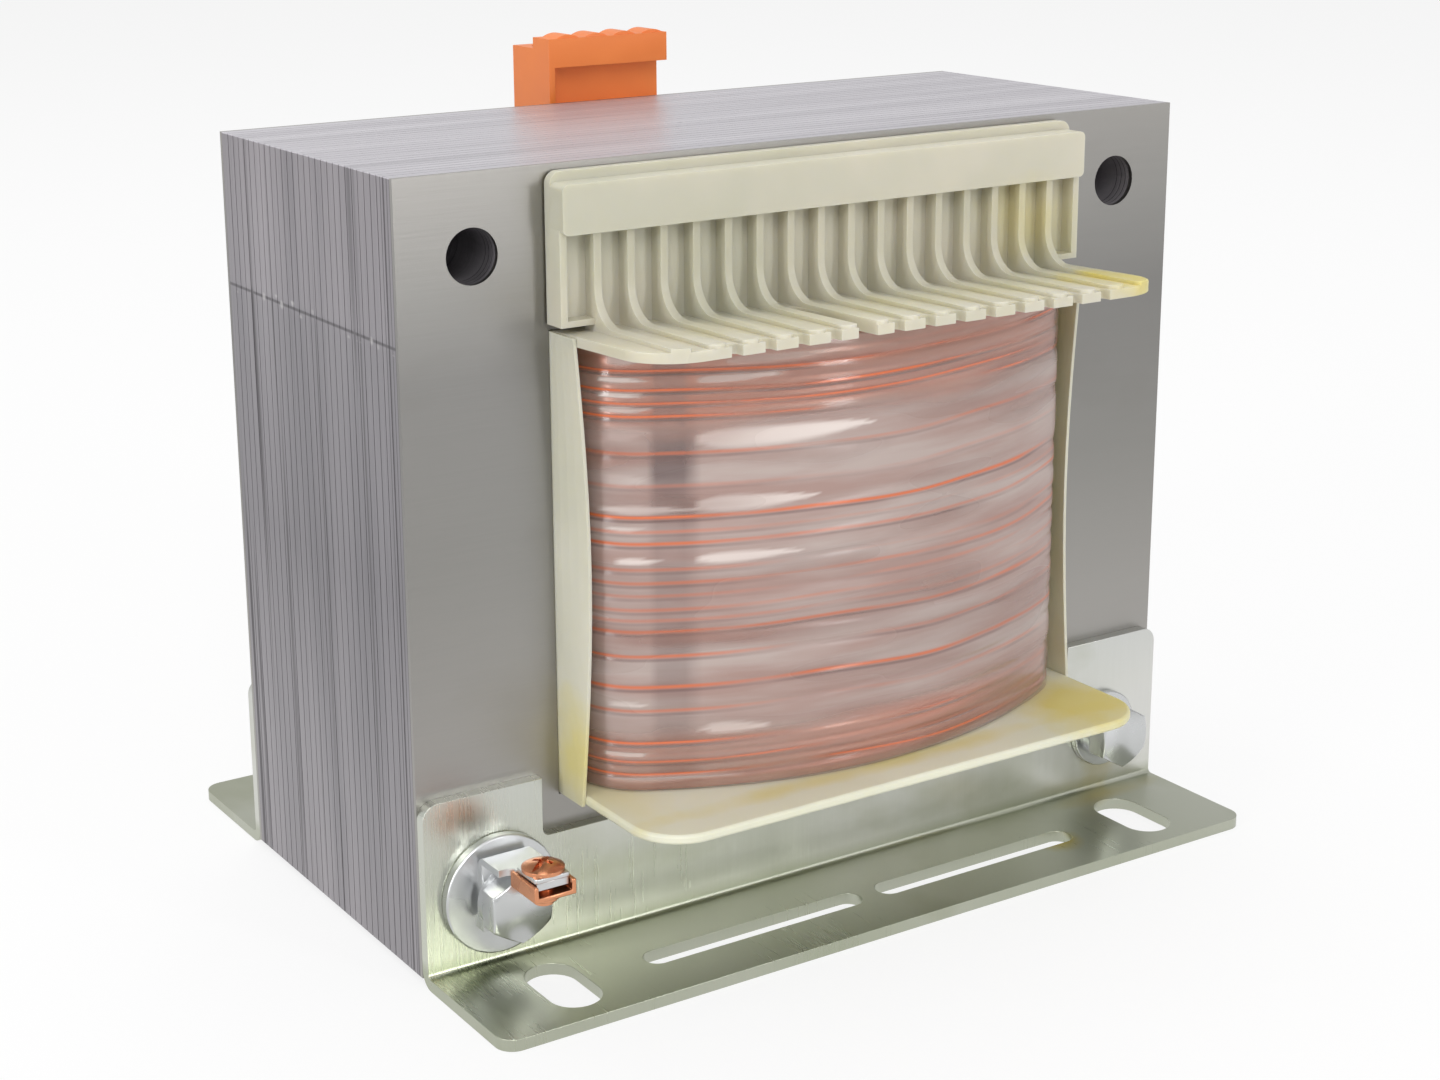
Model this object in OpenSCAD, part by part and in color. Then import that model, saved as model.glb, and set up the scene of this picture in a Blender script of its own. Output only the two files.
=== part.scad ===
// Laminated chassis transformer: an E and I lamination core with its coil on a comb-flanged bobbin,
// held by two through bolts between two folded mounting brackets, with an earth clamp and a
// terminal block. The origin is on the floor under the middle of the core. The front faces -Y.

/* [Core] */
// Width of each outer leg and height of each yoke
leg_w = 32; // [28:0.5:40]
// Width of the centre leg
centre_leg_w = 64; // [56:1:76]
// Width of each window
window_w = 32; // [30:0.5:38]
// Height of each window
window_h = 96; // [80:1:120]
// Depth of the stack of laminations, front to back
stack_d = 81; // [60:1:110]
// Thickness of the outermost lamination on each face, which is laid the other way up
outer_sheet_t = 1; // [0.5:0.1:2]
// Diameter of the bolt holes through the core
core_hole_d = 11; // [10.6:0.1:13]
// Distance of each bolt hole from the core's edges
hole_inset = 16; // [14:0.5:18]
// Spacing of the open gaps between the laminations
gap_pitch = 2.7; // [2:0.1:8]
// Width of an open gap
gap_w = 0.25; // [0.1:0.05:0.5]
// Depth of an open gap
gap_depth = 0.4; // [0.2:0.1:1]

/* [Mounting brackets] */
// Thickness of the folded sheet
sheet_t = 2.5; // [2:0.1:3.5]
// Inside radius of the fold
fold_r = 1; // [0.5:0.1:2]
// Reach of the foot in front of the core's face
foot_reach = 34; // [31:0.5:45]
// Height of the core above the floor
core_lift = 1.5; // [0:0.1:3]
// Width of each ear that the bolts hold
ear_w = 26.8; // [26:0.1:27.5]
// Height of the ears above the floor
ear_h = 39; // [30:0.5:40]
// Height of the upright between the ears
web_h = 26.5; // [12:0.5:28]
// Radius of the ears' outer top corners
ear_r = 3.5; // [1:0.5:6]
// Radius in the corner between an ear and the upright
notch_r = 1.5; // [0.5:0.5:3]
// Radius of the foot's front corners
foot_r = 4; // [1:0.5:8]
// Width of a mounting slot
slot_w = 11; // [6:0.5:12]
// Length of a mounting slot, front to back
slot_l = 20; // [13:0.5:21]
// Distance between the two mounting slots of a foot
slot_pitch = 150; // [140:1:160]
// Distance from the core's face to the middle of a mounting slot
slot_out = 19.5; // [18.5:0.5:21]
// Width of the long lightening slots
vent_w = 6; // [3:0.5:10]
// Length of a long lightening slot
vent_l = 53.7; // [30:0.1:56]
// Bridge between the two lightening slots
vent_bridge = 4.6; // [3:0.1:10]

/* [Bobbin] */
// Clearance between the bobbin's tube and the centre leg
leg_clear = 0.5; // [0.3:0.1:1]
// Wall of the tube
tube_wall = 2.3; // [1.5:0.1:3]
// Thickness of the flanges
flange_t = 2; // [1.5:0.1:3]
// Clearance between the flanges and the yokes
yoke_clear = 0.3; // [0.1:0.05:0.6]
// Thickness of the insulating sheet that lines each outer leg
liner_t = 0.7; // [0.4:0.1:1.2]
// Clearance on each face of a lining sheet
liner_clear = 0.2; // [0.1:0.05:0.4]
// Reach of the lining sheets past the core's faces
liner_reach = 9; // [4:0.5:12]
// Inward bow of a lining sheet's free edge
liner_bow = 2.5; // [0:0.1:4]
// Reach of the tongues past the core's faces
tongue_reach = 37; // [33:0.5:44]
// Rise of the top tongue from the core to its tips
tongue_rise = 1.5; // [0:0.1:3]
// Corner radius of the tongues
tongue_r = 11; // [4:0.5:16]
// Number of comb ribs on each face
rib_n = 18; // [14:1:18]
// Spacing of the comb ribs
rib_pitch = 7.5; // [7:0.1:7.5]
// Thickness of a comb rib
rib_t = 1.5; // [1:0.1:2]
// Reach of the comb ribs past the core's faces
rib_reach = 6; // [4:0.1:6.6]
// Radius where a rib bends out over the tongue
rib_bend_r = 7; // [4:0.5:9]
// Height of the ridges that the ribs form on the tongue
ridge_h = 1.5; // [0.6:0.1:2.5]
// Width of a ridge at its tip
ridge_tip_w = 4; // [2:0.1:5]
// Width of the notches between the finger tips
notch_w = 2.6; // [1.5:0.1:3.2]
// Depth of the notches between the finger tips
notch_depth = 3.2; // [2:0.1:5]
// Thickness of the comb's back wall
comb_wall = 2; // [1:0.1:2.5]
// Overhang of the comb beside the outermost ribs' middles
comb_side = 0.75; // [0.75:0.05:1]
// Distance of the comb's top below the top of the core
comb_drop = 1.2; // [0.5:0.1:3]
// Corner radius at the top of the comb
comb_r = 2.5; // [1:0.5:4]
// Height of the rail across the ribs
rail_h = 9.7; // [6:0.1:12]
// Distance of the rail's top below the top of the comb
rail_drop = 1.9; // [1:0.1:3]
// Reach of the rail past the core's faces
rail_reach = 7.5; // [7:0.1:9]
// Width of an open lead slot in a tongue
lead_slot_w = 4.6; // [3:0.1:5]

/* [Coil] */
// Thickness of the inner winding
inner_build = 11; // [8:0.5:13]
// Thickness of the insulation between the windings
insulation_t = 1; // [0.5:0.1:1.5]
// Air between one layer and the next
layer_gap = 0.3; // [0.1:0.05:0.5]
// Gap between the film's outside and the outer leg, beside the coil
coil_side_gap = 4; // [3.2:0.1:6]
// Reach of the coil's crown past the core's faces
coil_reach = 27.5; // [24:0.5:30]
// Corner radius of the coil's outline
coil_r = 16; // [12:0.5:18]
// Thickness of the clear film round the coil
film_t = 0.25; // [0.1:0.05:0.5]
// Number of turns side by side in the outer layer
turns = 36; // [24:1:44]
// Gap between the coil's ends and the flanges
coil_end_gap = 0.2; // [0.1:0.05:1]
// Diameter of a lead
lead_d = 2; // [1.5:0.1:2.6]

/* [Bolts and earth clamp] */
// Thread diameter of the through bolts
bolt_d = 8; // [6:0.1:8.4]
// Width across flats of heads and nuts
hex_af = 13; // [12.5:0.1:14]
// Height of a bolt head
head_h = 5.3; // [4:0.1:6]
// Height of a nut
nut_h = 6.5; // [5:0.1:8]
// Length of a bolt under its head
bolt_l = 110; // [106:1:125]
// Clearance of washers, brackets and strap round a bolt, on the diameter
bolt_clear = 0.4; // [0.2:0.1:0.8]
// Diameter of the large washer under the earth strap
large_washer_d = 25; // [22:0.5:26]
// Thickness of the large washer
large_washer_t = 2.3; // [1.5:0.1:3]
// Diameter of the plain washers
washer_d = 18; // [16:0.5:20]
// Thickness of the plain washers
washer_t = 1.6; // [1:0.1:2]
// Diameter of the spring washers
spring_washer_d = 13; // [11:0.1:14]
// Thickness of the spring washers
spring_washer_t = 1.9; // [1:0.1:2.5]
// Thickness of the earth strap
strap_t = 1.5; // [1:0.1:2]
// Width of the earth strap
strap_w = 10.8; // [10:0.1:12]
// Air between the bolt head and the strap's tab over it
tab_clear = 0.7; // [0.4:0.1:2]
// Distance from the bolt head's face to the clamp
clamp_clear = 1; // [0.5:0.1:3]
// Length and width of the clamp's pressure plate
plate_w = 7.7; // [7:0.1:9]
// Thickness of the pressure plate
plate_t = 1; // [0.8:0.1:1.5]
// Width of the saddle under the tab
saddle_w = 9.2; // [8.6:0.1:11]
// Length of the saddle, front to back
saddle_l = 9.8; // [8:0.1:12]
// Thickness of the saddle's sheet
saddle_t = 0.9; // [0.6:0.1:1.2]
// Space for a conductor between the tab and the saddle
saddle_gap = 1; // [0.5:0.1:2]
// Thread diameter of the clamp screw
clamp_screw_d = 4; // [3.5:0.1:4.4]
// Head diameter of the clamp screw
clamp_head_d = 8.5; // [7:0.1:9]
// Head height of the clamp screw
clamp_head_h = 1.9; // [1.4:0.1:3]
// Sideways shift of the clamp from the bolt
clamp_shift = 1.2; // [0:0.1:1.4]

/* [Terminal block] */
// Number of poles
pole_n = 4; // [2:1:6]
// Width of a pole
pole_w = 7.5; // [7.2:0.1:8]
// Thickness of the end plate
end_plate_t = 1.5; // [1:0.1:3]
// Sideways shift of the block from the middle of the rail
block_shift = 0.95; // [-3:0.05:3]
// Depth of the block behind the rail
block_d = 12.3; // [11.5:0.1:15]
// Height of the block's back step above the top of the core
block_rise = 11.5; // [8:0.1:15]
// Extra height of the front ledge
ledge_rise = 2.5; // [1:0.1:4]
// Depth of the higher part behind the rail's face
ledge_back = 2.8; // [1.5:0.1:3.4]
// Reach of the ledge over the rail
ledge_reach = 4.5; // [2:0.1:6]
// Height of the ledge's front face
ledge_h = 6.5; // [4:0.1:8]
// Height of the block below the rail's middle
block_below = 8; // [7.4:0.1:10]
// Clearance between the clip and the rail
clip_clear = 0.2; // [0.1:0.05:0.4]
// Width of a wire entry
entry_w = 5; // [4.6:0.1:5.2]
// Height of a wire entry
entry_h = 5.2; // [4.6:0.1:6]

/* [Hidden] */
$fn = 64;
eps = 0.01;
big = 400;

// Core
core_w = centre_leg_w + 2 * (window_w + leg_w);
core_h = window_h + 2 * leg_w;
face_y = stack_d / 2;
floor_z = core_lift;
seam_z = floor_z + leg_w + window_h;
window_z = floor_z + leg_w;
top_z = floor_z + core_h;
window_x = centre_leg_w / 2 + window_w;
bolt_x = core_w / 2 - hole_inset;
bolt_z = floor_z + hole_inset;
inner_stack_d = stack_d - 2 * outer_sheet_t;
gap_n = floor(inner_stack_d / gap_pitch);

// Bobbin
tube_in_x = centre_leg_w / 2 + leg_clear;
tube_in_y = face_y + leg_clear;
tube_x = tube_in_x + tube_wall;
tube_y = tube_in_y + tube_wall;
liner_x = window_x - liner_clear - liner_t;
flange_x = liner_x - liner_clear;
flange_y = face_y + tongue_reach;
low_flange_z = window_z + yoke_clear;
low_face_z = low_flange_z + flange_t;
high_flange_z = seam_z - yoke_clear - flange_t;
comb_x = (rib_n - 1) / 2 * rib_pitch + comb_side;
comb_top_z = top_z - comb_drop;
comb_clear = 1.3;
comb_base_z = seam_z + comb_clear;
comb_in_y = face_y + leg_clear;
comb_out_y = comb_in_y + comb_wall;
rail_top_z = comb_top_z - rail_drop;
rail_z = rail_top_z - rail_h;
rail_y = face_y + rail_reach;
shelf_t = 1.2;
plain_cells = 2;

// Coil
coil_z = low_face_z + coil_end_gap;
coil_top_z = high_flange_z - coil_end_gap;
coil_h = coil_top_z - coil_z;
turn_pitch = coil_h / turns;
film_x = window_x - coil_side_gap;
winding_x = film_x - film_t - layer_gap;
inner_x = tube_x + inner_build;
insulation_x = inner_x + layer_gap + insulation_t;
hollow_x = insulation_x + layer_gap;
tube_front = leg_clear + tube_wall;
groove_share = 0.24;
groove_w = turn_pitch * groove_share;
groove_depth = 0.6;
join = 0.3;

// Bolts
hex_d = hex_af / cos(30);
bracket_y = face_y + sheet_t;
bore_d = bolt_d + bolt_clear;
strap_y = bracket_y + large_washer_t;
left_spring_y = strap_y + strap_t;
left_head_y = left_spring_y + spring_washer_t;
right_head_y = bracket_y + washer_t + spring_washer_t;
nut_y = bracket_y + washer_t + spring_washer_t;
tab_z = bolt_z + hex_d / 2 + tab_clear;
tab_top_z = tab_z + strap_t;
clamp_y = left_head_y + head_h + clamp_clear + saddle_l / 2;
clamp_x = -bolt_x + clamp_shift;
saddle_z = tab_z - saddle_gap - saddle_t;
saddle_in_w = saddle_w - 2 * saddle_t;
tab_tip_w = saddle_in_w - 0.4;
collar_h = 1.6;
saddle_tip = 1.2;
plate_top_z = tab_top_z + plate_t;

// Terminal block
block_w = pole_n * pole_w + end_plate_t;
block_x = block_shift - block_w / 2;
block_y = rail_y + clip_clear;
block_back_y = block_y + block_d;
block_top_z = top_z + block_rise;
ledge_top_z = block_top_z + ledge_rise;
block_z = rail_z + rail_h / 2 - block_below;
cage_w = 5.8;
cage_d = 7;
cage_h = 8.6;
cage_z = block_top_z - 16;
cage_y = block_back_y - 2 - cage_d / 2;
cage_gap = 0.1;
entry_lift = 1.2;
entry_z = cage_z + entry_lift;
screw_d = 3.4;
screw_head_d = 5.2;
funnel_d = 5.8;
lead_y = tube_y + inner_build + insulation_t + 2 * layer_gap + lead_d;

function rib_x(i) = (i - (rib_n - 1) / 2) * rib_pitch;
function cell_x(i) = (i - (rib_n - 2) / 2) * rib_pitch;
function pole_x(i) = block_x + end_plate_t + (i + 0.5) * pole_w;
function lead_cell_x(i) = cell_x(floor(rib_n / 2) - 2 + i);

// Extrudes a front-view outline (x, z) from y0 to y1
module front_view(y0, y1) {
    translate([0, y1, 0])
        rotate([90, 0, 0])
            linear_extrude(y1 - y0)
                children();
}

// Extrudes a side-view outline (y, z) from x0 to x1
module side_view(x0, x1) {
    translate([x0, 0, 0])
        rotate([90, 0, 90])
            linear_extrude(x1 - x0)
                children();
}

// A cylinder along Y from y0 to y1
module rod_y(x, z, d, y0, y1) {
    translate([x, y1, z])
        rotate([90, 0, 0])
            cylinder(d = d, h = y1 - y0);
}

module both_faces() {
    children();
    mirror([0, 1, 0])
        children();
}

module both_sides() {
    children();
    mirror([1, 0, 0])
        children();
}

module rounded_rect(x, y, r) {
    square([2 * x, 2 * (y - r)], center = true);
    square([2 * (x - r), 2 * y], center = true);
    for (sx = [-1, 1], sy = [-1, 1])
        translate([sx * (x - r), sy * (y - r)])
            circle(r);
}

// Core laminations ---------------------------------------------------------------------------

// Outline of an E lamination, with the closed yoke at the bottom
module e_outline() {
    difference() {
        translate([-core_w / 2, 0])
            square([core_w, leg_w + window_h]);
        both_sides()
            translate([centre_leg_w / 2, leg_w])
                square([window_w, window_h + 1]);
        both_sides()
            translate([bolt_x, hole_inset])
                circle(d = core_hole_d);
    }
}

// Outline of an I lamination
module i_outline() {
    difference() {
        translate([-core_w / 2, 0])
            square([core_w, leg_w]);
        both_sides()
            translate([bolt_x, leg_w - hole_inset])
                circle(d = core_hole_d);
    }
}

// Open gaps between laminations, round the whole core
module lamination_gaps() {
    for (i = [1 : gap_n - 1])
        front_view(-inner_stack_d / 2 + i * gap_pitch, -inner_stack_d / 2 + i * gap_pitch + gap_w)
            difference() {
                translate([-core_w / 2 - 1, floor_z - 1])
                    square([core_w + 2, core_h + 2]);
                translate([-core_w / 2 + gap_depth, floor_z + gap_depth])
                    square([core_w - 2 * gap_depth, core_h - 2 * gap_depth]);
            }
}

module e_stack() {
    color("slategray")
        difference() {
            front_view(-inner_stack_d / 2, inner_stack_d / 2)
                translate([0, floor_z])
                    e_outline();
            lamination_gaps();
        }
}

module i_stack() {
    color("slategray")
        difference() {
            front_view(-inner_stack_d / 2, inner_stack_d / 2)
                translate([0, seam_z])
                    i_outline();
            lamination_gaps();
        }
}

// The outermost E on the front, with its yoke at the top
module front_outer_e() {
    color("silver")
        front_view(-face_y, -inner_stack_d / 2)
            translate([0, top_z])
                mirror([0, 1])
                    e_outline();
}

module front_outer_i() {
    color("silver")
        front_view(-face_y, -inner_stack_d / 2)
            translate([0, window_z])
                mirror([0, 1])
                    i_outline();
}

module rear_outer_e() {
    color("silver")
        mirror([0, 1, 0])
            front_outer_e();
}

module rear_outer_i() {
    color("silver")
        mirror([0, 1, 0])
            front_outer_i();
}

// Bobbin -------------------------------------------------------------------------------------

module bobbin_tube() {
    color("beige")
        translate([0, 0, low_face_z])
            linear_extrude(high_flange_z - low_face_z)
                difference() {
                    square([2 * tube_x, 2 * tube_y], center = true);
                    square([2 * tube_in_x, 2 * tube_in_y], center = true);
                }
}

// Plan of a flange, with the opening for the centre leg
module flange_plan() {
    difference() {
        rounded_rect(flange_x, flange_y, tongue_r);
        square([2 * tube_in_x, 2 * tube_in_y], center = true);
    }
}

module bottom_flange() {
    color("beige")
        translate([0, 0, low_flange_z])
            linear_extrude(flange_t)
                flange_plan();
}

// Side view of the top flange: level through the windows, its tongues rising to their tips
module top_flange_side() {
    polygon([
        [-flange_y, high_flange_z + tongue_rise],
        [-face_y, high_flange_z],
        [face_y, high_flange_z],
        [flange_y, high_flange_z + tongue_rise],
        [flange_y, high_flange_z + tongue_rise + flange_t],
        [face_y, high_flange_z + flange_t],
        [-face_y, high_flange_z + flange_t],
        [-flange_y, high_flange_z + tongue_rise + flange_t]
    ]);
}

// Side view of one front rib: upright behind the rail, then a bend out into a ridge on the tongue
module rib_side() {
    base_z = high_flange_z + flange_t / 2;
    front = -(face_y + rib_reach);
    bend_z = high_flange_z + flange_t + ridge_h + rib_bend_r;
    difference() {
        polygon([
            [-comb_out_y + 0.5, base_z],
            [-comb_out_y + 0.5, rail_z + 1],
            [front, rail_z + 1],
            [front, bend_z],
            [front - rib_bend_r, bend_z - rib_bend_r],
            [-flange_y, high_flange_z + tongue_rise + flange_t + ridge_h * 0.5],
            [-flange_y, base_z + tongue_rise]
        ]);
        translate([front - rib_bend_r, bend_z])
            circle(rib_bend_r);
    }
}

// Plan of one ridge: as thick as the rib at the wall, wider at its rounded tip
module ridge_plan() {
    polygon([
        [-rib_t / 2, 0],
        [-rib_t / 2, -comb_out_y - 2],
        [-ridge_tip_w / 2, -flange_y + ridge_tip_w / 2],
        [ridge_tip_w / 2, -flange_y + ridge_tip_w / 2],
        [rib_t / 2, -comb_out_y - 2],
        [rib_t / 2, 0]
    ]);
    translate([0, -flange_y + ridge_tip_w / 2])
        circle(d = ridge_tip_w);
}

// Ribs that run out over the tongue
module front_ridges() {
    for (i = [1 : rib_n - 2])
        intersection() {
            side_view(rib_x(i) - ridge_tip_w, rib_x(i) + ridge_tip_w)
                rib_side();
            translate([rib_x(i), 0, high_flange_z])
                linear_extrude(core_h)
                    ridge_plan();
        }
}

// Comb wall, its end ribs, the shelves that close the end cells, and the rail across the ribs
module front_comb() {
    front_view(-comb_out_y, -comb_in_y)
        intersection() {
            translate([-comb_x, comb_base_z])
                square([2 * comb_x, comb_top_z - comb_base_z]);
            translate([0, comb_top_z - core_h / 2])
                rounded_rect(comb_x, core_h / 2, comb_r);
        }
    front_view(-comb_out_y, -comb_in_y)
        translate([rib_x(1), high_flange_z + flange_t / 2])
            square([rib_x(rib_n - 2) - rib_x(1), comb_base_z - high_flange_z]);
    both_sides()
        front_view(-face_y - rib_reach, -comb_out_y + eps)
            translate([rib_x(rib_n - 1) - rib_t / 2, comb_base_z])
                square([rib_t, rail_z + 1 - comb_base_z]);
    both_sides()
        front_view(-face_y - rib_reach, -comb_out_y + eps)
            translate([rib_x(rib_n - 2), comb_base_z])
                square([rib_pitch, shelf_t]);
    front_view(-rail_y, -comb_out_y + eps)
        translate([0, rail_z + rail_h / 2])
            rounded_rect(comb_x, rail_h / 2, comb_r / 2);
}

// Notches between the finger tips
module front_notches() {
    for (i = [plain_cells : rib_n - 2 - plain_cells])
        translate([cell_x(i), -flange_y, high_flange_z - 1])
            linear_extrude(core_h) {
                translate([-notch_w / 2, -1])
                    square([notch_w, notch_depth - notch_w / 2 + 1]);
                translate([0, notch_depth - notch_w / 2])
                    circle(d = notch_w);
            }
}

// An open slot from the tips back to the given distance from the core's face
module open_slot(x, w, near) {
    translate([x, -face_y - near - w / 2, high_flange_z - 1])
        linear_extrude(flange_t + tongue_rise + ridge_h + 2) {
            circle(d = w);
            translate([-w / 2, -tongue_reach])
                square([w, tongue_reach]);
        }
}

module top_flange() {
    color("beige")
        difference() {
            union() {
                intersection() {
                    side_view(-flange_x, flange_x)
                        top_flange_side();
                    translate([0, 0, high_flange_z - 1])
                        linear_extrude(core_h)
                            flange_plan();
                }
                both_faces() {
                    intersection() {
                        front_ridges();
                        translate([0, 0, high_flange_z - 1])
                            linear_extrude(core_h)
                                rounded_rect(flange_x, flange_y, tongue_r);
                    }
                    front_comb();
                }
            }
            both_faces()
                front_notches();
            open_slot(cell_x(floor(rib_n / 2) - 3), lead_slot_w, rib_reach + 3);
            for (i = [0 : pole_n - 1])
                mirror([0, 1, 0])
                    open_slot(lead_cell_x(i), lead_slot_w, rib_reach + 3);
        }
}

// Lining sheet: flat against the leg inside the window, its free flaps bowed inwards
module liner() {
    ny = 4;
    nz = 12;
    y_steps = concat(
        [for (j = [0 : ny]) -face_y - liner_reach * (1 - j / ny)],
        [for (j = [0 : ny]) face_y + liner_reach * j / ny]
    );
    n = len(y_steps);
    base = low_flange_z;
    height = seam_z - yoke_clear - base;
    function bow(y, k) = liner_bow * pow(max(0, abs(y) - face_y) / liner_reach, 1.5) * sin(180 * k / nz);
    function ring(side) = [
        for (k = [0 : nz], j = [0 : n - 1])
            [liner_x + side * liner_t - bow(y_steps[j], k), y_steps[j], base + height * k / nz]
    ];
    m = n * (nz + 1);
    function edge(a, b) = [[a, b, b + m], [a, b + m, a + m]];
    function flat(lists) = [for (l = lists) each l];
    polyhedron(
        points = concat(ring(0), ring(1)),
        faces = concat(
            [for (k = [0 : nz - 1], j = [0 : n - 2]) each
                [[k * n + j, (k + 1) * n + j, (k + 1) * n + j + 1], [k * n + j, (k + 1) * n + j + 1, k * n + j + 1]]],
            [for (k = [0 : nz - 1], j = [0 : n - 2]) each
                [[m + k * n + j, m + (k + 1) * n + j + 1, m + (k + 1) * n + j],
                 [m + k * n + j, m + k * n + j + 1, m + (k + 1) * n + j + 1]]],
            flat([for (j = [0 : n - 2]) edge(j, j + 1)]),
            flat([for (j = [0 : n - 2]) edge(nz * n + j + 1, nz * n + j)]),
            flat([for (k = [0 : nz - 1]) edge((k + 1) * n, k * n)]),
            flat([for (k = [0 : nz - 1]) edge(k * n + n - 1, (k + 1) * n + n - 1)])
        )
    );
}

module right_liner() {
    color("ivory")
        liner();
}

module left_liner() {
    color("ivory")
        mirror([1, 0, 0])
            liner();
}

// Coil ---------------------------------------------------------------------------------------

// Plan of a coil layer: straight sides, four small corner arcs of radius r and two large crown
// arcs that meet them smoothly. hx is the half width and front the reach past the core's faces.
module oval(hx, front, r) {
    c = hx - r;
    d = front - r;
    back = (c * c - d * d) / (2 * d);
    crown_r = back + front;
    join_x = crown_r * c / (crown_r - r) - join;
    square([2 * hx, 2 * (face_y + join)], center = true);
    square([2 * c, 2 * (face_y + d)], center = true);
    for (sx = [-1, 1], sy = [-1, 1])
        translate([sx * c, sy * face_y])
            circle(r);
    for (s = [-1, 1])
        intersection() {
            translate([0, s * (face_y - back)])
                circle(crown_r, $fn = 240);
            translate([-join_x, s > 0 ? 0 : -big])
                square([2 * join_x, big]);
        }
}

// Plan outline of a layer at the given depth inside the coil's outside
module layer(x) {
    share = (x - tube_x) / (film_x - tube_x);
    oval(x, tube_front + (coil_reach - tube_front) * share, coil_r * share);
}

module inner_winding() {
    color("chocolate")
        translate([0, 0, coil_z])
            linear_extrude(coil_h)
                difference() {
                    layer(inner_x);
                    square([2 * tube_x, 2 * tube_y], center = true);
                }
}

module interlayer_insulation() {
    color("khaki")
        translate([0, 0, coil_z])
            linear_extrude(coil_h)
                difference() {
                    layer(insulation_x);
                    layer(inner_x + layer_gap);
                }
}

// The turns of the outer layer stand side by side, with a groove between one and the next
module outer_winding() {
    color("peru")
        translate([0, 0, coil_z])
            difference() {
                linear_extrude(coil_h)
                    difference() {
                        layer(winding_x);
                        layer(hollow_x);
                    }
                for (i = [1 : turns - 1])
                    translate([0, 0, i * turn_pitch - groove_w / 2])
                        linear_extrude(groove_w)
                            difference() {
                                square(big, center = true);
                                layer(winding_x - groove_depth);
                            }
            }
}

module film_wrap() {
    color("mistyrose", 0.4)
        translate([0, 0, coil_z])
            linear_extrude(coil_h)
                difference() {
                    layer(film_x);
                    layer(film_x - film_t);
                }
}

// The straight run of one lead, from the coil's end up to its cage
module lead_run(i, d) {
    rise = cage_z - coil_top_z;
    shift = pole_x(i) - lead_cell_x(i);
    translate([lead_cell_x(i), lead_y, coil_top_z])
        rotate([0, atan2(shift, rise), 0])
            translate([0, 0, -lead_d])
                cylinder(d = d, h = rise + 2 * lead_d);
}

// Four leads that rise from the coil through the rear tongue's slots into the terminal block
module lead_wires() {
    color("orangered")
        for (i = [0 : pole_n - 1])
            intersection() {
                lead_run(i, lead_d);
                translate([0, 0, (coil_top_z + cage_z) / 2])
                    cube([big, big, cage_z - coil_top_z], center = true);
            }
}

// Mounting brackets --------------------------------------------------------------------------

// Side view of the folded sheet: x outwards from the core's face, y up
module fold_profile(height) {
    outer_r = fold_r + sheet_t;
    difference() {
        union() {
            square([sheet_t, height]);
            square([foot_reach, sheet_t]);
            translate([sheet_t, sheet_t])
                square(fold_r);
        }
        translate([outer_r, outer_r])
            circle(fold_r);
        difference() {
            square(outer_r);
            translate([outer_r, outer_r])
                circle(outer_r);
        }
    }
}

// Front view of the bracket: two ears above a lower upright
module bracket_front() {
    translate([-core_w / 2, 0])
        square([core_w, web_h]);
    both_sides()
        difference() {
            union() {
                translate([core_w / 2 - ear_w, 0])
                    square([ear_w, ear_h - ear_r]);
                translate([core_w / 2 - ear_w, 0])
                    square([ear_w - ear_r, ear_h]);
                translate([core_w / 2 - ear_r, ear_h - ear_r])
                    circle(ear_r);
                translate([core_w / 2 - ear_w - notch_r, web_h - eps])
                    square(notch_r + eps);
            }
            translate([core_w / 2 - ear_w - notch_r, web_h + notch_r])
                circle(notch_r);
        }
}

module slot_cut(x, y, w, l) {
    translate([x, y, -1])
        linear_extrude(sheet_t + 2) {
            square([w, max(l - w, eps)], center = true);
            for (s = [-1, 1])
                translate([0, s * (l - w) / 2])
                    circle(d = w);
        }
}

module front_bracket() {
    color("gainsboro")
        difference() {
            intersection() {
                translate([0, -face_y, 0])
                    mirror([0, 1, 0])
                        side_view(-core_w / 2, core_w / 2)
                            fold_profile(ear_h);
                front_view(-face_y - foot_reach - 1, 0)
                    bracket_front();
                translate([0, 0, -1])
                    linear_extrude(ear_h + 2)
                        rounded_rect(core_w / 2, face_y + foot_reach, foot_r);
            }
            both_sides()
                rod_y(bolt_x, bolt_z, bore_d, -bracket_y - 1, -face_y + 1);
            both_sides()
                slot_cut(slot_pitch / 2, -face_y - slot_out, slot_w, slot_l);
            both_sides()
                translate([(vent_l + vent_bridge) / 2, -face_y - slot_out, 0])
                    rotate([0, 0, 90])
                        slot_cut(0, 0, vent_w, vent_l);
        }
}

module rear_bracket() {
    color("gainsboro")
        mirror([0, 1, 0])
            front_bracket();
}

// Bolts, washers and nuts --------------------------------------------------------------------

// A hexagon head or nut along Y with its flats at the sides and its face chamfered
module hex_block(x, z, y_face, h) {
    translate([x, y_face, z])
        rotate([-90, 0, 0])
            intersection() {
                rotate([0, 0, 30])
                    cylinder(d = hex_d, h = h, $fn = 6);
                cylinder(d1 = hex_af - 0.4, d2 = hex_af - 0.4 + 2 * 1.8 * h, h = h);
            }
}

module through_bolt(x, head_y) {
    hex_block(x, bolt_z, -head_y - head_h, head_h);
    rod_y(x, bolt_z, bolt_d, -head_y - eps, -head_y + bolt_l);
}

module through_bolts() {
    color("lightgray") {
        through_bolt(-bolt_x, left_head_y);
        through_bolt(bolt_x, right_head_y);
    }
}

module bolt_sleeves() {
    color("white")
        both_sides()
            difference() {
                rod_y(bolt_x, bolt_z, core_hole_d - bolt_clear, -face_y, face_y);
                rod_y(bolt_x, bolt_z, bore_d, -face_y - 1, face_y + 1);
            }
}

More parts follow.
